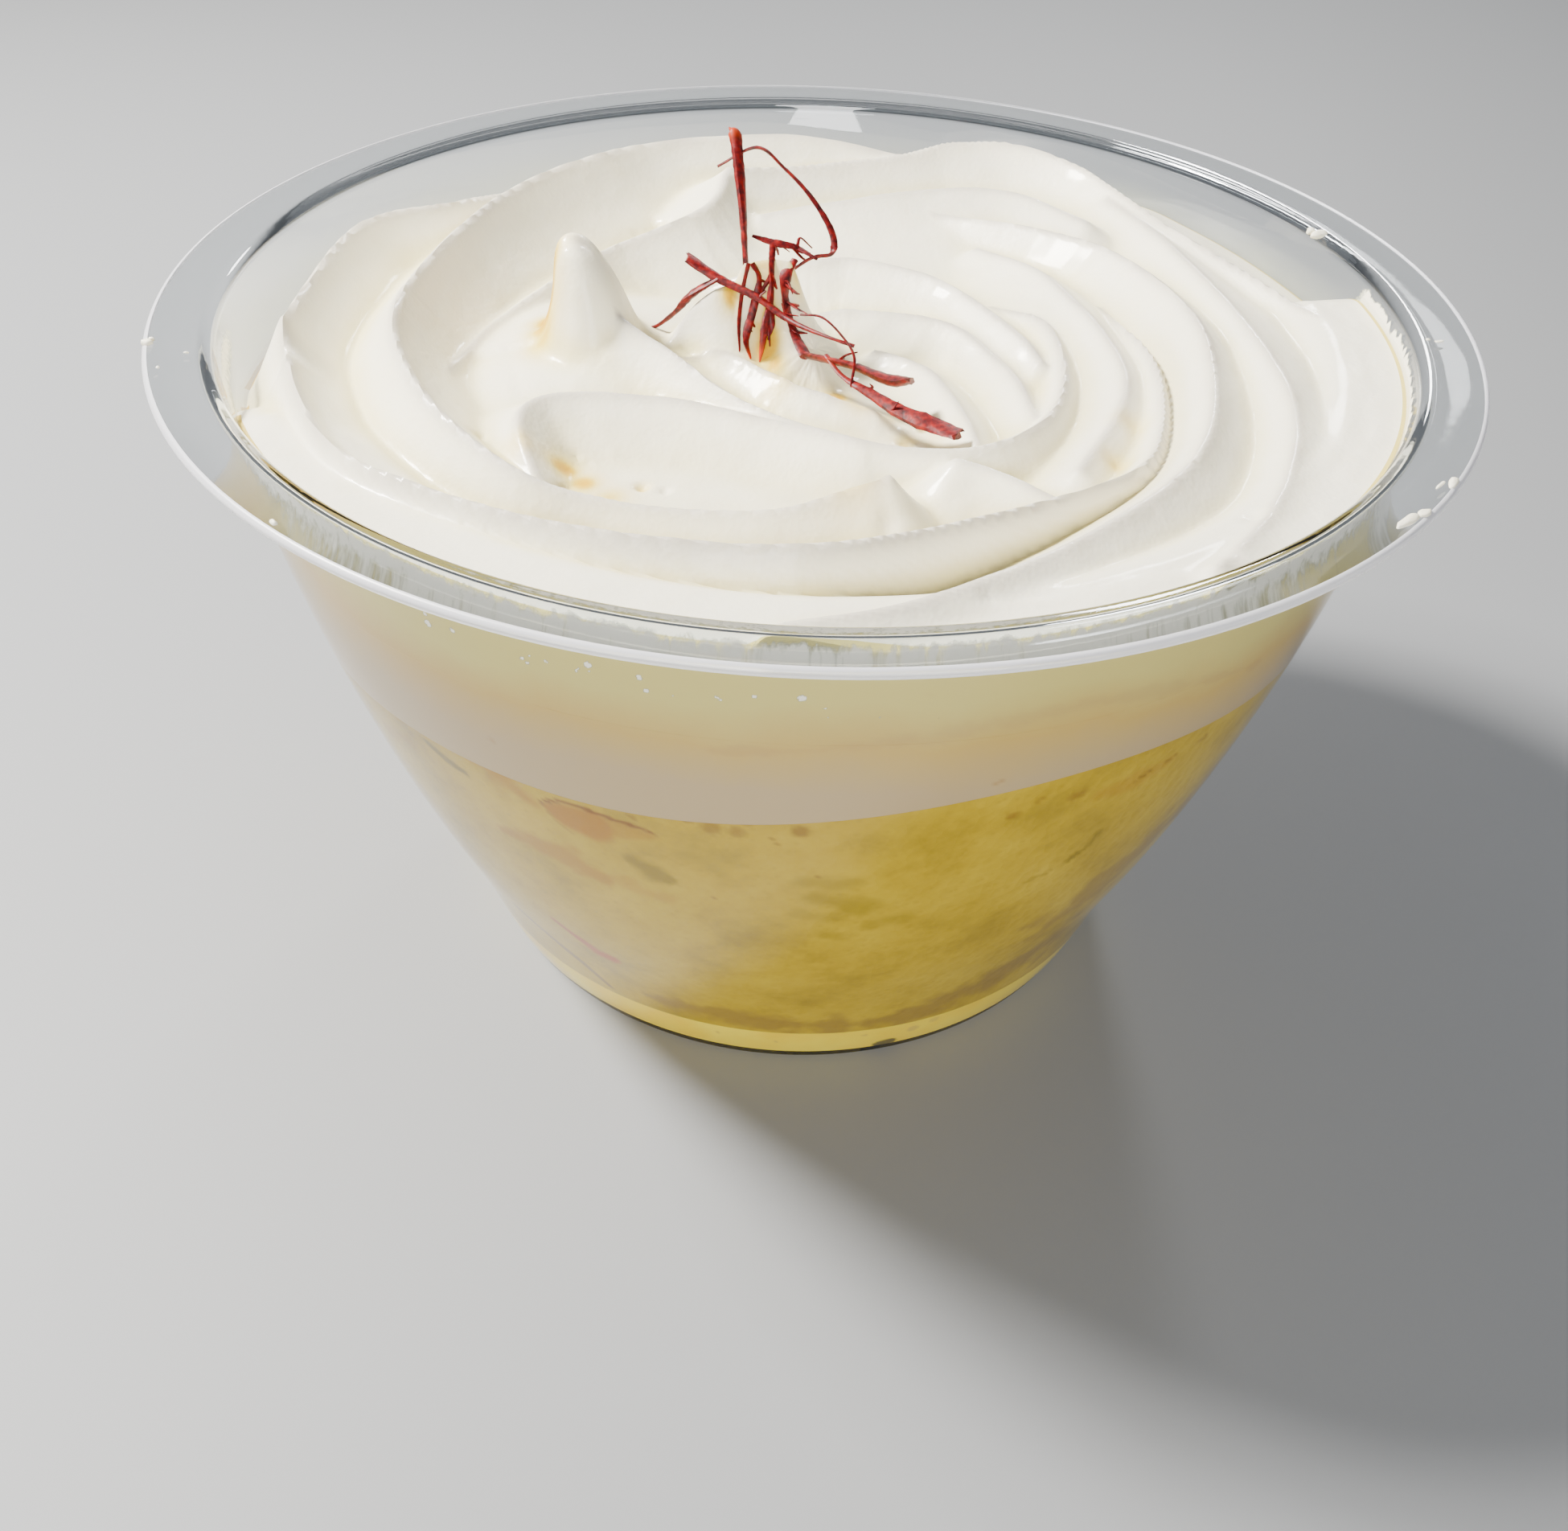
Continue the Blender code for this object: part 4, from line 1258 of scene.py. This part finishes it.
@dataclass
class Swirl:
    """The piped cream: a height field of ribs, with leaning tips, dents and lumps."""

    levels: Levels
    finish: PipedCream = field(default_factory=PipedCream)
    shaded_side_finish: ShadedWallCream = field(default_factory=ShadedWallCream)
    bowl_level: float = 56.5
    bowl_radius: float = 36.0
    shelf_radius: float = 47.0
    shelf_high: float = 62.6
    shelf_low: float = 55.0
    shelf_start: float = -176.0
    shelf_end: float = 8.0
    blend: float = 0.22
    crest_fall: float = 0.25
    crest_width: float = 0.55
    side_sharpness: float = 1.6
    samples: int = 6
    rings: Rings = Rings(158, 22, 2)
    steps: int = 540
    lap: float = 0.4
    horn: tuple[float, float] = (-21.0, -0.3)
    horn_lean: tuple[float, float] = (-0.9, 0.4)
    horn_foot: float = 62.0
    horn_rise: float = 7.0
    horn_reach: float = 9.0
    horn_fade: float = 5.0
    shelf_fade_in: float = 30.0
    shelf_fade_out: float = 16.0
    dents: tuple[Dent, ...] = (
        Dent(-13.8, -21.3, 0.55, 0.6), Dent(-11.9, -21.8, 0.45, 0.45),
        Dent(-27.5, -17.9, 0.6, 0.4), Dent(6.4, -29.2, 0.9, 0.5), Dent(-24.2, 1.6, 1.3, 1.0),
        Dent(-19.1, 26.7, 0.4, 0.3), Dent(8.3, -11.9, 0.7, 0.6), Dent(9.9, -9.8, 0.6, 0.5),
        Dent(27.4, -13.6, 0.9, 0.4), Dent(12.6, -45.6, 0.5, 0.25), Dent(25.2, -19.0, 0.8, 0.4),
        Dent(-46.6, -10.6, 2.6, -1.3), Dent(-44.8, -13.6, 1.3, 0.9), Dent(-46.0, -17.5, 3.0, -0.8),
        Dent(-48.6, -14.4, 0.7, 0.7), Dent(-43.4, -22.6, 2.6, -0.6), Dent(33.4, -32.4, 0.8, 0.4),
        Dent(30.4, -38.9, 0.7, 0.35), Dent(28.8, -40.8, 0.7, -0.35))
    stain_gain: float = 1.5
    stains: tuple[Stain, ...] = (
        Stain(-24.2, 2.4, 2.0, 0.85), Stain(-24.4, 0.0, 1.9, 0.75), Stain(-24.4, -2.0, 1.9, 0.5),
        Stain(-20.4, -19.8, 1.5, 0.7), Stain(-18.6, -21.2, 1.6, 0.65),
        Stain(-16.2, -23.2, 1.6, 0.45), Stain(-23.9, -20.1, 1.4, 0.3),
        Stain(-13.8, -21.3, 0.7, 0.45), Stain(-3.2, -6.1, 1.7, 0.32), Stain(-5.0, 2.2, 1.8, 0.5),
        Stain(-4.6, 1.0, 1.6, 0.62), Stain(-4.3, -0.4, 1.4, 0.78), Stain(-3.6, -1.6, 1.2, 0.6),
        Stain(-7.9, 1.9, 1.0, 0.72), Stain(-2.0, 2.4, 0.9, 0.45), Stain(2.1, -4.2, 1.4, 0.72),
        Stain(2.7, -5.9, 1.2, 0.88), Stain(4.4, -7.6, 1.6, 0.55), Stain(6.4, -8.3, 1.2, 0.4),
        Stain(8.1, -11.7, 1.0, 0.35), Stain(9.8, -9.6, 0.8, 0.3), Stain(11.2, -11.6, 1.6, 0.16),
        Stain(25.2, -19.2, 1.2, 0.35), Stain(26.9, -13.9, 1.4, 0.25), Stain(3.4, -26.8, 2.2, 0.3))

    def rib_height(self, x: np.ndarray, y: np.ndarray,
                   rib: Rib) -> tuple[np.ndarray, np.ndarray]:
        """Height that one rib gives each point: its crest less the fall of the flank there.

        Args:
            x: places in mm.
            y: places in mm.
            rib: the rib.

        Returns:
            Heights, and distances from the crest, in mm.
        """
        crest = spline(rib.crest, self.samples)
        nearest = np.full(x.shape, np.inf)
        top = np.zeros(x.shape)
        leftness = np.zeros(x.shape)
        for start, end in zip(crest, crest[1:]):
            run = end[:2] - start[:2]
            dx, dy = x - start[0], y - start[1]
            along = np.clip((dx * run[0] + dy * run[1]) / run.dot(run), 0.0, 1.0)
            off_x, off_y = dx - along * run[0], dy - along * run[1]
            distance = np.hypot(off_x, off_y)
            closer = distance < nearest
            nearest[closer] = distance[closer]
            top[closer] = (start[2] + along * (end[2] - start[2]))[closer]
            cross = (run[0] * dy - run[1] * dx) / np.hypot(*run)
            leftness[closer] = (cross / np.maximum(distance, 1e-6))[closer]
        left = 0.5 + 0.5 * np.clip(self.side_sharpness * leftness, -1.0, 1.0)
        drop = rib.right.drop + left * (rib.left.drop - rib.right.drop)
        reach = rib.right.reach + left * (rib.left.reach - rib.right.reach)
        rounded = np.hypot(nearest, rib.rounding) - rib.rounding
        fall = drop * (1.0 - np.exp(-((rounded / reach) ** rib.bluntness)))
        return top - fall - self.crest_fall * nearest, nearest

    def bowl_height(self, x: np.ndarray, y: np.ndarray) -> np.ndarray:
        """Cream between the ribs: a shallow bowl that climbs to a shelf along the cup."""
        angle = np.degrees(np.arctan2(y, x))
        filled = (smoothstep((angle - self.shelf_start) / self.shelf_fade_in)
                  * smoothstep((self.shelf_end - angle) / self.shelf_fade_out + 1))
        shelf = self.shelf_low + (self.shelf_high - self.shelf_low) * filled
        span = self.shelf_radius - self.bowl_radius
        climb = smoothstep((np.hypot(x, y) - self.bowl_radius) / span)
        return self.bowl_level + (shelf - self.bowl_level) * climb

    def height(self, x: np.ndarray, y: np.ndarray) -> np.ndarray:
        """Height of the swirl: the highest rib or bowl, blended softly where they meet."""
        datum = self.levels.cup.height
        total = np.exp((self.bowl_height(x, y) - datum) / self.blend)
        for rib in RIBS.values():
            total += np.exp((self.rib_height(x, y, rib)[0] - datum) / self.blend)
        return datum + self.blend * np.log(total)

    def crest_shade_lines(self, x: np.ndarray, y: np.ndarray) -> np.ndarray:
        """How much each point lies on a rib's crest, where that rib is the highest."""
        level = self.height(x, y)
        total = np.zeros(x.shape)
        for rib in RIBS.values():
            height, distance = self.rib_height(x, y, rib)
            line = np.exp(-((distance / self.crest_width) ** 2))
            total = np.maximum(total, line * smoothstep((height - level + 0.6) / 0.4))
        return total

    def bottom(self, x: np.ndarray, y: np.ndarray) -> np.ndarray:
        """Underside, a little way into the cream layer."""
        return self.levels.cream_top(x, y) - self.lap

    def shape(self, points: np.ndarray) -> np.ndarray:
        """Lean the horn, press the dents in and make the surface uneven.

        Args:
            points: the mesh's points in mm.

        Returns:
            The moved points.
        """
        x, y, z = points.T
        top = smoothstep((z - self.bottom(x, y) - 0.6) / 1.5)
        angle = np.arctan2(y, x)
        radius = np.hypot(x, y)
        inward = smoothstep((self.levels.cup.inner_radius(60.0) - 0.5 - radius) / 2.0)
        along = np.column_stack([radius, angle * 9.0, z * 0.6])
        moved = points.copy()
        moved[:, 2] += top * inward * (0.16 * layered_noise(along, 3.2, 21)
                                       + 0.10 * layered_noise(points, 6.0, 33))
        for dent in self.dents:
            distance = np.hypot(x - dent.x, y - dent.y) / dent.radius
            moved[:, 2] -= dent.depth * np.exp(-(distance**2)) * top
        reach = np.hypot(x - self.horn[0], y - self.horn[1])
        lift = (smoothstep((z - self.horn_foot) / self.horn_rise)
                * smoothstep((self.horn_reach - reach) / self.horn_fade))
        moved[:, 0] += self.horn_lean[0] * lift**1.5
        moved[:, 1] += self.horn_lean[1] * lift**1.5
        return moved

    def build(self) -> bpy.types.Object:
        """Make the swirl; the strands that replace the rest of its solid come apart."""
        swirl = Plug("piped_swirl", self.levels.cup, self.bottom, self.height,
                     self.rings, self.steps, bite=0.1).build()
        points = self.shape(points_of(swirl))
        set_points(swirl, points)
        dress_wall_cream(swirl)
        # painted shade: the swirl's side along the wall takes the darker wall cream
        centers = face_centers(swirl)
        wall = self.levels.cup.inner_radius(centers[:, 2]) - 0.15
        paint_faces(swirl, np.hypot(centers[:, 0], centers[:, 1]) > wall, 1)
        x, y, z = points.T
        # painted shade: deep valleys and low heights get the darker valley colour
        heights = HeightMap(self.height)
        valley = smoothstep((0.15 - heights.relief(x, y, 2.4)) / 1.1)
        set_attribute(swirl, "hollow", 0.6 * valley + 0.25 * (60.5 - z) / 6.0)
        # painted shade along the crests, broken by noise
        broken = 0.75 + 0.35 * layered_noise(points, 5.0, 61)
        set_attribute(swirl, "crest", 0.62 * broken * self.crest_shade_lines(x, y))
        stain = np.zeros(len(points))
        for spot in self.stains:
            distance = np.hypot(x - spot.x, y - spot.y) / spot.radius
            stain = np.maximum(stain, spot.strength * np.exp(-(distance**2)))
        set_attribute(swirl, "stain", self.stain_gain * stain)
        return publish(swirl, [self.finish.material(), self.shaded_side_finish.material()],
                       Slot.PIPED_CREAM, "cream_swirl")


# --- saffron -------------------------------------------------------------------------------
class Strand(NamedTuple):
    """A saffron strand: its run (x, y, z, radius in mm), and whether it ends in a mouth."""

    run: tuple
    mouth: bool = False


STRANDS = {
    "upright": Strand(((-6.5, 3, 65, 0.3), (-7, 5.5, 69.5, 0.4), (-7.5, 8, 72.5, 0.45),
                       (-8, 10, 74.9, 0.5), (-8.4, 10.4, 75.2, 0.3)), True),
    "arch": Strand(((-9.5, 8.5, 72.5, 0.15), (-6, 9.5, 74, 0.2), (-3.5, 8.8, 72.5, 0.2),
                    (-1, 7.5, 70.5, 0.25), (1, 6, 68, 0.3), (1.2, 5, 66.3, 0.25),
                    (-1, 4.2, 65.9, 0.2), (-5, 2, 63.5, 0.15))),
    "slanting": Strand(((3.5, -4.5, 61.8, 0.2), (1.5, -4, 62.2, 0.15), (-1, -2, 62.2, 0.2),
                        (-3, 0, 62.3, 0.25), (-5.5, 1.2, 63.5, 0.3), (-9, 2.6, 64.5, 0.35),
                        (-12, 3.6, 66, 0.6)), True),
    "left_limb": Strand(((-16.5, 3.6, 59.2, 0.1), (-15, 3.2, 59.3, 0.2), (-13, 2.9, 61, 0.3),
                         (-11.5, 2.7, 62.8, 0.45), (-9, 2.6, 64.5, 0.3))),
    "stem_a": Strand(((-6.3, 2.7, 66, 0.2), (-6.8, 1.8, 63.5, 0.2), (-7, 0.3, 61, 0.2),
                      (-6.8, -1, 58.7, 0.12))),
    "stem_b": Strand(((-6, 2.7, 66, 0.3), (-5.3, 2.2, 64.7, 0.25), (-5.8, 1, 62, 0.3),
                      (-6.3, -0.3, 60, 0.3), (-5.8, -1.1, 58.5, 0.15))),
    "stem_c": Strand(((-4.2, 4.5, 67.1, 0.28), (-4.2, 2.5, 65.7, 0.3), (-4.2, 1.2, 63, 0.35),
                      (-4.7, -0.3, 60.5, 0.45), (-5, -1.2, 58.3, 0.1))),
    "stem_d": Strand(((-2.1, 3.4, 66.2, 0.25), (-2.9, 2, 65, 0.45), (-2.8, 1.1, 63, 0.4),
                      (-1.9, -0.2, 60.7, 0.4), (-0.8, -2.4, 59.6, 0.5))),
    "curl": Strand(((-1.4, -1.6, 63.2, 0.13), (0.5, -2.4, 63.4, 0.14), (2.3, -4, 62.5, 0.14),
                    (3.5, -6.2, 61.5, 0.15), (3.3, -8.4, 59.8, 0.12))),
    "fan": Strand(((-1, -2, 59.6, 0.4), (1.3, -4.4, 60.3, 0.4), (3.5, -6.2, 60.7, 0.45),
                   (6.5, -7.8, 60.3, 0.65), (8.5, -8.4, 60.6, 0.85)), True),
    "long_tail": Strand(((1, -4.2, 60.7, 0.18), (2.5, -6.8, 60, 0.2), (5, -9.6, 59.8, 0.4),
                         (8, -12.4, 59.4, 0.6), (12.4, -15, 59.1, 0.85)), True),
    "crown": Strand(((-6.1, 5, 67.6, 0.16), (-4.2, 4.6, 67.2, 0.3), (-2.2, 4.8, 66.8, 0.22),
                     (-0.9, 5.2, 66, 0.15))),
}


class Bunch(NamedTuple):
    """Fine wisps that branch off a strand: its name, how many, which way they head, and the
    ranges of their lengths and radii in mm."""

    strand: str
    count: int
    heading: tuple[float, float, float]
    lengths: tuple[float, float]
    radii: tuple[float, float]


BUNCHES = (
    Bunch("stem_c", 6, (0.1, -0.5, -0.9), (3, 5.5), (0.18, 0.3)),
    Bunch("stem_b", 4, (0.5, 0.4, -0.6), (1.5, 3.5), (0.14, 0.24)),
    Bunch("crown", 6, (0.8, 0.1, -0.3), (1.5, 3.5), (0.12, 0.2)),
    Bunch("stem_d", 6, (0.4, -1, -0.1), (1.5, 3.5), (0.14, 0.26)),
    Bunch("fan", 3, (0.7, -0.3, 0.4), (1.2, 2.2), (0.1, 0.2)),
    Bunch("long_tail", 2, (0.2, -0.2, 1), (0.8, 1.2), (0.1, 0.2)),
    Bunch("slanting", 2, (0.4, 0, 0.8), (0.8, 1.2), (0.1, 0.14)))


def wisps(seed: int, samples: int = 9, stray: float = 0.3,
          tip: float = 0.06) -> dict[str, Strand]:
    """Draw the wisps of every bunch.

    Args:
        seed: picks their places.
        samples: points between two knots of the strand they leave.
        stray: how far a wisp strays from its heading and from a straight run.
        tip: radius of its end in mm.

    Returns:
        The wisps by name.
    """
    draw = np.random.default_rng(seed)
    found = {}
    for bunch in BUNCHES:
        stem = spline(STRANDS[bunch.strand].run, samples)[:, :3]
        for number in range(bunch.count):
            start = stem[draw.integers(len(stem) // 4, len(stem) * 3 // 4)]
            heading = np.array(bunch.heading) + draw.normal(0.0, stray, 3)
            reach = heading / np.linalg.norm(heading) * draw.uniform(*bunch.lengths)
            middle = start + reach / 2 + draw.normal(0.0, stray, 3)
            radius = draw.uniform(*bunch.radii)
            found[f"{bunch.strand}_wisp_{number}"] = Strand(
                ((*start, radius), (*middle, 0.8 * radius), (*(start + reach), tip)))
    return found


@dataclass
class SaffronTuft:
    """The strands of saffron that stand in the middle of the swirl."""

    finish: SaffronStigma = field(default_factory=SaffronStigma)
    samples: int = 9
    sides: int = 10
    fullness: float = 1.25
    flatness: float = 0.6
    mouth_flatness: float = 0.28
    frill: float = 0.3
    seed: int = 7
    wisp_seed: int = 11
    feet: tuple[tuple[float, float, float], ...] = (
        (-1.5, -4.6, 59.8), (0.5, -5.6, 59.6), (-5.0, -1.2, 58.6), (-8.4, 10.6, 75.3))

    def strand(self, name: str, strand: Strand, draw: np.random.Generator) -> bpy.types.Object:
        """Loft one strand: an uneven flattened tube, pointed or with a ragged mouth.

        Args:
            name: the object's name.
            strand: its run and sizes.
            draw: source of the unevenness.

        Returns:
            The mesh object.
        """
        curve = spline(strand.run, self.samples)
        run, width = curve[:, :3], self.fullness * np.maximum(curve[:, 3], 0.04)
        count = len(run)
        obj, share = wrapped_grid(name, self.sides, count - 1)
        index = np.rint(share[:, 1] * (count - 1)).astype(int)
        side_number = np.rint(share[:, 0] * self.sides).astype(int) % self.sides
        turn = side_number / self.sides * 2 * np.pi
        tangent = np.gradient(run, axis=0)
        tangent /= np.linalg.norm(tangent, axis=1)[:, None]
        side = np.cross(tangent, (0.3, 0.2, 1.0))
        side /= np.linalg.norm(side, axis=1)[:, None]
        up = np.cross(side, tangent)
        place = np.linspace(0.0, 1.0, count)
        open_up = smoothstep(place * 5 - 4) if strand.mouth else np.zeros(count)
        width = width * (0.92 + 0.16 * draw.random(count))
        flat = self.flatness + (self.mouth_flatness - self.flatness) * open_up
        roll = draw.uniform(-0.4, 0.4) + place * draw.uniform(-1.2, 1.2) * (1 - open_up)
        lobe = 1.0 + 0.12 * np.cos(3 * turn + 2 * roll[index])
        a = np.cos(turn) * width[index] * lobe
        b = np.sin(turn) * (width * flat)[index] * lobe
        c, s = np.cos(roll[index]), np.sin(roll[index])
        points = (run[index] + (a * c - b * s)[:, None] * side[index]
                  + (a * s + b * c)[:, None] * up[index])
        frill = draw.uniform(-self.frill, self.frill, self.sides)[side_number]
        points += (frill * open_up[index])[:, None] * tangent[index]
        set_points(obj, points)
        close_wrap(obj)
        return obj

    def build(self) -> bpy.types.Object:
        """Make every strand and join them to one piece."""
        draw = np.random.default_rng(self.seed)
        pieces = [self.strand("strand_" + name, strand, draw)
                  for name, strand in {**STRANDS, **wisps(self.wisp_seed)}.items()]
        tuft = join_pieces(pieces, "saffron_strands")
        bpy.ops.object.mode_set(mode="EDIT")
        bpy.ops.mesh.select_all(action="SELECT")
        bpy.ops.mesh.fill_holes(sides=self.sides + 2)
        bpy.ops.mesh.normals_make_consistent(inside=False)
        bpy.ops.object.mode_set(mode="OBJECT")
        bpy.ops.object.shade_smooth_by_angle(angle=math.radians(50))
        points = points_of(tuft)
        near = [np.linalg.norm(points - np.array(foot), axis=1) for foot in self.feet]
        set_attribute(tuft, "foot", 0.8 * smoothstep(1.5 - np.min(near, axis=0) / 1.2))
        return publish(tuft, [self.finish.material()], Slot.SAFFRON, "cream_swirl")


# --- cream on the plastic ------------------------------------------------------------------
@dataclass
class Film:
    """The film of cream along the top of the wall, frayed at its upper edge."""

    cup: Cup
    finish: CreamFilm = field(default_factory=CreamFilm)
    bottom: float = 54.8
    top: float = 64.0
    steps: int = 1600
    rows: int = 50
    depth: float = 0.2
    band_top: float = 63.5
    band_bottom: float = 59.8
    smear_top: float = 63.9
    smear_bottom: float = 58.0
    smear: tuple[float, float] = (-40.0, 12.0)
    band: tuple[float, float] = (-176.0, -24.0)

    def cover(self, angle: np.ndarray, z: np.ndarray, points: np.ndarray) -> np.ndarray:
        """How much of the wall the film hides.

        Args:
            angle: angles in degrees.
            z: heights in mm.
            points: the places in mm.

        Returns:
            0 clear to 1 hidden.
        """
        streaks = np.column_stack([angle * 2.2, z * 0.25, np.zeros_like(z)])
        ragged = 0.8 * layered_noise(streaks, 1.3, 51) + 0.5 * layered_noise(points, 3.0, 52)
        start, end = self.band
        along = smoothstep((angle - start) / 10.0) * smoothstep((end - angle) / 12.0)
        band = smoothstep((self.band_top + 0.25 * ragged - z) / 1.0) * smoothstep(
            (z - self.band_bottom - 0.1 * ragged) / 3.2)
        start, end = self.smear
        wide = smoothstep((angle - start) / 12.0) * smoothstep((end - angle) / 5.0)
        smear = (smoothstep((self.smear_top + 0.7 * ragged - z) / 0.8)
                 * smoothstep((z - self.smear_bottom) / 2.0))
        specks = streak_cover(points, wall_specks(43), 42)
        return np.maximum.reduce([band * along * 0.9, smear * wide, specks])

    def build(self) -> bpy.types.Object:
        """Wrap a strip round the wall, just inside the plastic."""
        strip, share = wrapped_grid("cream_film", self.steps, self.rows)
        turn = np.rint(share[:, 0] * self.steps) % self.steps / self.steps * 2 * np.pi
        z = self.bottom + (self.top - self.bottom) * share[:, 1]
        radius = self.cup.inner_radius(z) + self.depth
        set_points(strip, np.column_stack([radius * np.cos(turn), radius * np.sin(turn), z]))
        close_wrap(strip)
        points = points_of(strip)
        angle = np.degrees(np.arctan2(points[:, 1], points[:, 0]))
        z = points[:, 2]
        set_attribute(strip, "cover", self.cover(angle, z, points))
        open_wall = smoothstep((np.abs(angle_gap(angle, 95.0)) - 96.0) / -14.0)
        cloud = 0.6 + 0.5 * layered_noise(points * (1.0, 1.0, 0.4), 7.0, 53)
        set_attribute(strip, "haze", open_wall * cloud * smoothstep((62.5 - z) / 4.0))
        return publish(strip, [self.finish.material()], Slot.WHIPPED_CREAM)


class Crumb(NamedTuple):
    """A speck of cream stuck to the rim: place and half sizes in mm, turn in degrees."""

    place: tuple[float, float, float]
    size: tuple[float, float, float]
    turn: float = 0.0


@dataclass
class Crumbs:
    """Specks and chips of cream on the rim."""

    finish: PipedCream = field(default_factory=PipedCream)
    seed: int = 3
    crumbs: tuple[Crumb, ...] = (
        Crumb((48.8, 18.2, 64.8), (0.8, 0.45, 0.4), 20),
        Crumb((48.1, 19.0, 64.8), (0.4, 0.4, 0.35)),
        Crumb((43.2, -36.3, 65.05), (1.3, 0.45, 0.25), 45),
        Crumb((44.6, -35.2, 65.05), (0.7, 0.35, 0.22), 40),
        Crumb((48.1, -30.4, 65.0), (0.8, 0.35, 0.3), 60),
        Crumb((47.0, -30.9, 65.05), (0.9, 0.15, 0.1), 50),
        Crumb((-54.7, -16.1, 65.0), (0.45, 0.4, 0.4)),
        Crumb((-54.5, -15.5, 65.0), (0.25, 0.2, 0.25)),
        Crumb((53.8, -5.8, 65.02), (0.45, 0.2, 0.1), 15),
        Crumb((52.9, -5.5, 65.02), (0.2, 0.15, 0.1)),
        Crumb((-52.4, -20.4, 65.02), (0.15, 0.15, 0.1)),
        Crumb((-51.0, -17.6, 65.02), (0.2, 0.12, 0.1)),
        Crumb((-36.9, -42.9, 65.0), (0.4, 0.25, 0.2), -50))

    def build(self) -> bpy.types.Object:
        """Make the specks as lumpy balls and join them to one piece."""
        pieces = []
        for number, crumb in enumerate(self.crumbs):
            deselect_all()
            bpy.ops.mesh.primitive_ico_sphere_add(subdivisions=3, radius=1.0)
            piece = bpy.context.object
            piece.name = "crumb_%d" % number
            unit = points_of(piece) * MM
            lumpy = unit * (1.0 + 0.35 * layered_noise(unit, 0.9, self.seed + number))[:, None]
            turn = math.radians(crumb.turn)
            x, y, z = (lumpy * crumb.size).T
            moved = np.column_stack([x * math.cos(turn) - y * math.sin(turn),
                                     x * math.sin(turn) + y * math.cos(turn), z])
            set_points(piece, moved + crumb.place)
            pieces.append(piece)
        crumbs = join_pieces(pieces, "cream_crumbs")
        bpy.ops.object.shade_smooth()
        return publish(crumbs, [self.finish.material()], Slot.PIPED_CREAM)


# --- studio --------------------------------------------------------------------------------
@dataclass
class SoftBox:
    """A round soft light: places in metres, width across, power in watts."""

    name: str
    place: tuple[float, float, float]
    aim: tuple[float, float, float]
    width: float
    power: float
    color: str = "FFFFFF"

    def build(self) -> None:
        """Hang the light and turn it to its aim."""
        lamp = bpy.data.lights.new(self.name, "AREA")
        lamp.shape = "DISK"
        lamp.size = self.width
        lamp.energy = self.power
        lamp.color = linear(self.color)[:3]
        obj = bpy.data.objects.new(self.name, lamp)
        bpy.context.scene.collection.objects.link(obj)
        obj.location = self.place
        toward = Vector(self.aim) - Vector(self.place)
        obj.rotation_euler = toward.to_track_quat("-Z", "Y").to_euler()


@dataclass
class Studio:
    """Floor, soft lights and camera."""

    floor_width: float = 6.0
    floor_finish: PaleFloor = field(default_factory=PaleFloor)
    sky: str = "DDE3EA"
    sky_strength: float = 0.22
    camera_place: tuple[float, float, float] = (0.0, -0.13932, 0.12507)
    camera_aim: tuple[float, float, float] = (-0.00144, 0.0, 0.009603)
    camera_roll: float = 2.068
    lens: float = 37.437
    sensor: float = 36.0
    lights: tuple[SoftBox, ...] = (
        SoftBox("key", (-0.33, 0.10, 0.42), (0, 0, 0.06), 0.10, 13.0, "FFFBF4"),
        SoftBox("front", (0.00, -0.62, 0.30), (0, 0, 0.03), 0.25, 4.6, "FFFFFF"),
        SoftBox("back", (0.14, 0.55, 0.34), (0, 0, 0.06), 0.08, 1.2, "FFFFFF"))

    def build(self) -> None:
        """Set everything up."""
        deselect_all()
        bpy.ops.mesh.primitive_plane_add(size=self.floor_width, location=(0.0, 0.0, -0.00005))
        floor = bpy.context.object
        floor.name = floor.data.name = "studio_floor"
        bpy.ops.object.transform_apply(location=True)
        floor.data.materials.append(self.floor_finish.material())
        world = bpy.data.worlds.new("studio_sky")
        bpy.context.scene.world = world
        world.use_nodes = True
        background = world.node_tree.nodes["Background"]
        background.inputs["Color"].default_value = linear(self.sky)
        background.inputs["Strength"].default_value = self.sky_strength
        for light in self.lights:
            light.build()
        self.add_camera()

    def add_camera(self) -> None:
        """Place the camera and make it the scene's own."""
        lens = bpy.data.cameras.new("camera")
        lens.sensor_width = self.sensor
        lens.lens = self.lens
        lens.clip_start = 0.001
        camera = bpy.data.objects.new("camera", lens)
        bpy.context.scene.collection.objects.link(camera)
        place = Vector(self.camera_place)
        forward = (Vector(self.camera_aim) - place).normalized()
        right = forward.cross(Vector((0.0, 0.0, 1.0))).normalized()
        up = right.cross(forward)
        turn = Matrix((right, up, -forward)).transposed().to_4x4()
        roll = Matrix.Rotation(math.radians(self.camera_roll), 4, "Z")
        camera.matrix_world = Matrix.Translation(place) @ turn @ roll
        bpy.context.scene.camera = camera


def main() -> None:
    """Build the pieces round the frame and report them."""
    logging.basicConfig(level=logging.INFO, format="%(name)s: %(message)s")
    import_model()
    cup = Cup()
    levels = Levels(cup)
    cup.build()
    MilkPool(levels).build()
    Sponge(levels).build()
    CreamLayer(levels).build()
    Swirl(levels).build()
    SaffronTuft().build()
    Film(cup).build()
    Crumbs().build()
    Studio().build()


if __name__ == "__main__":
    main()
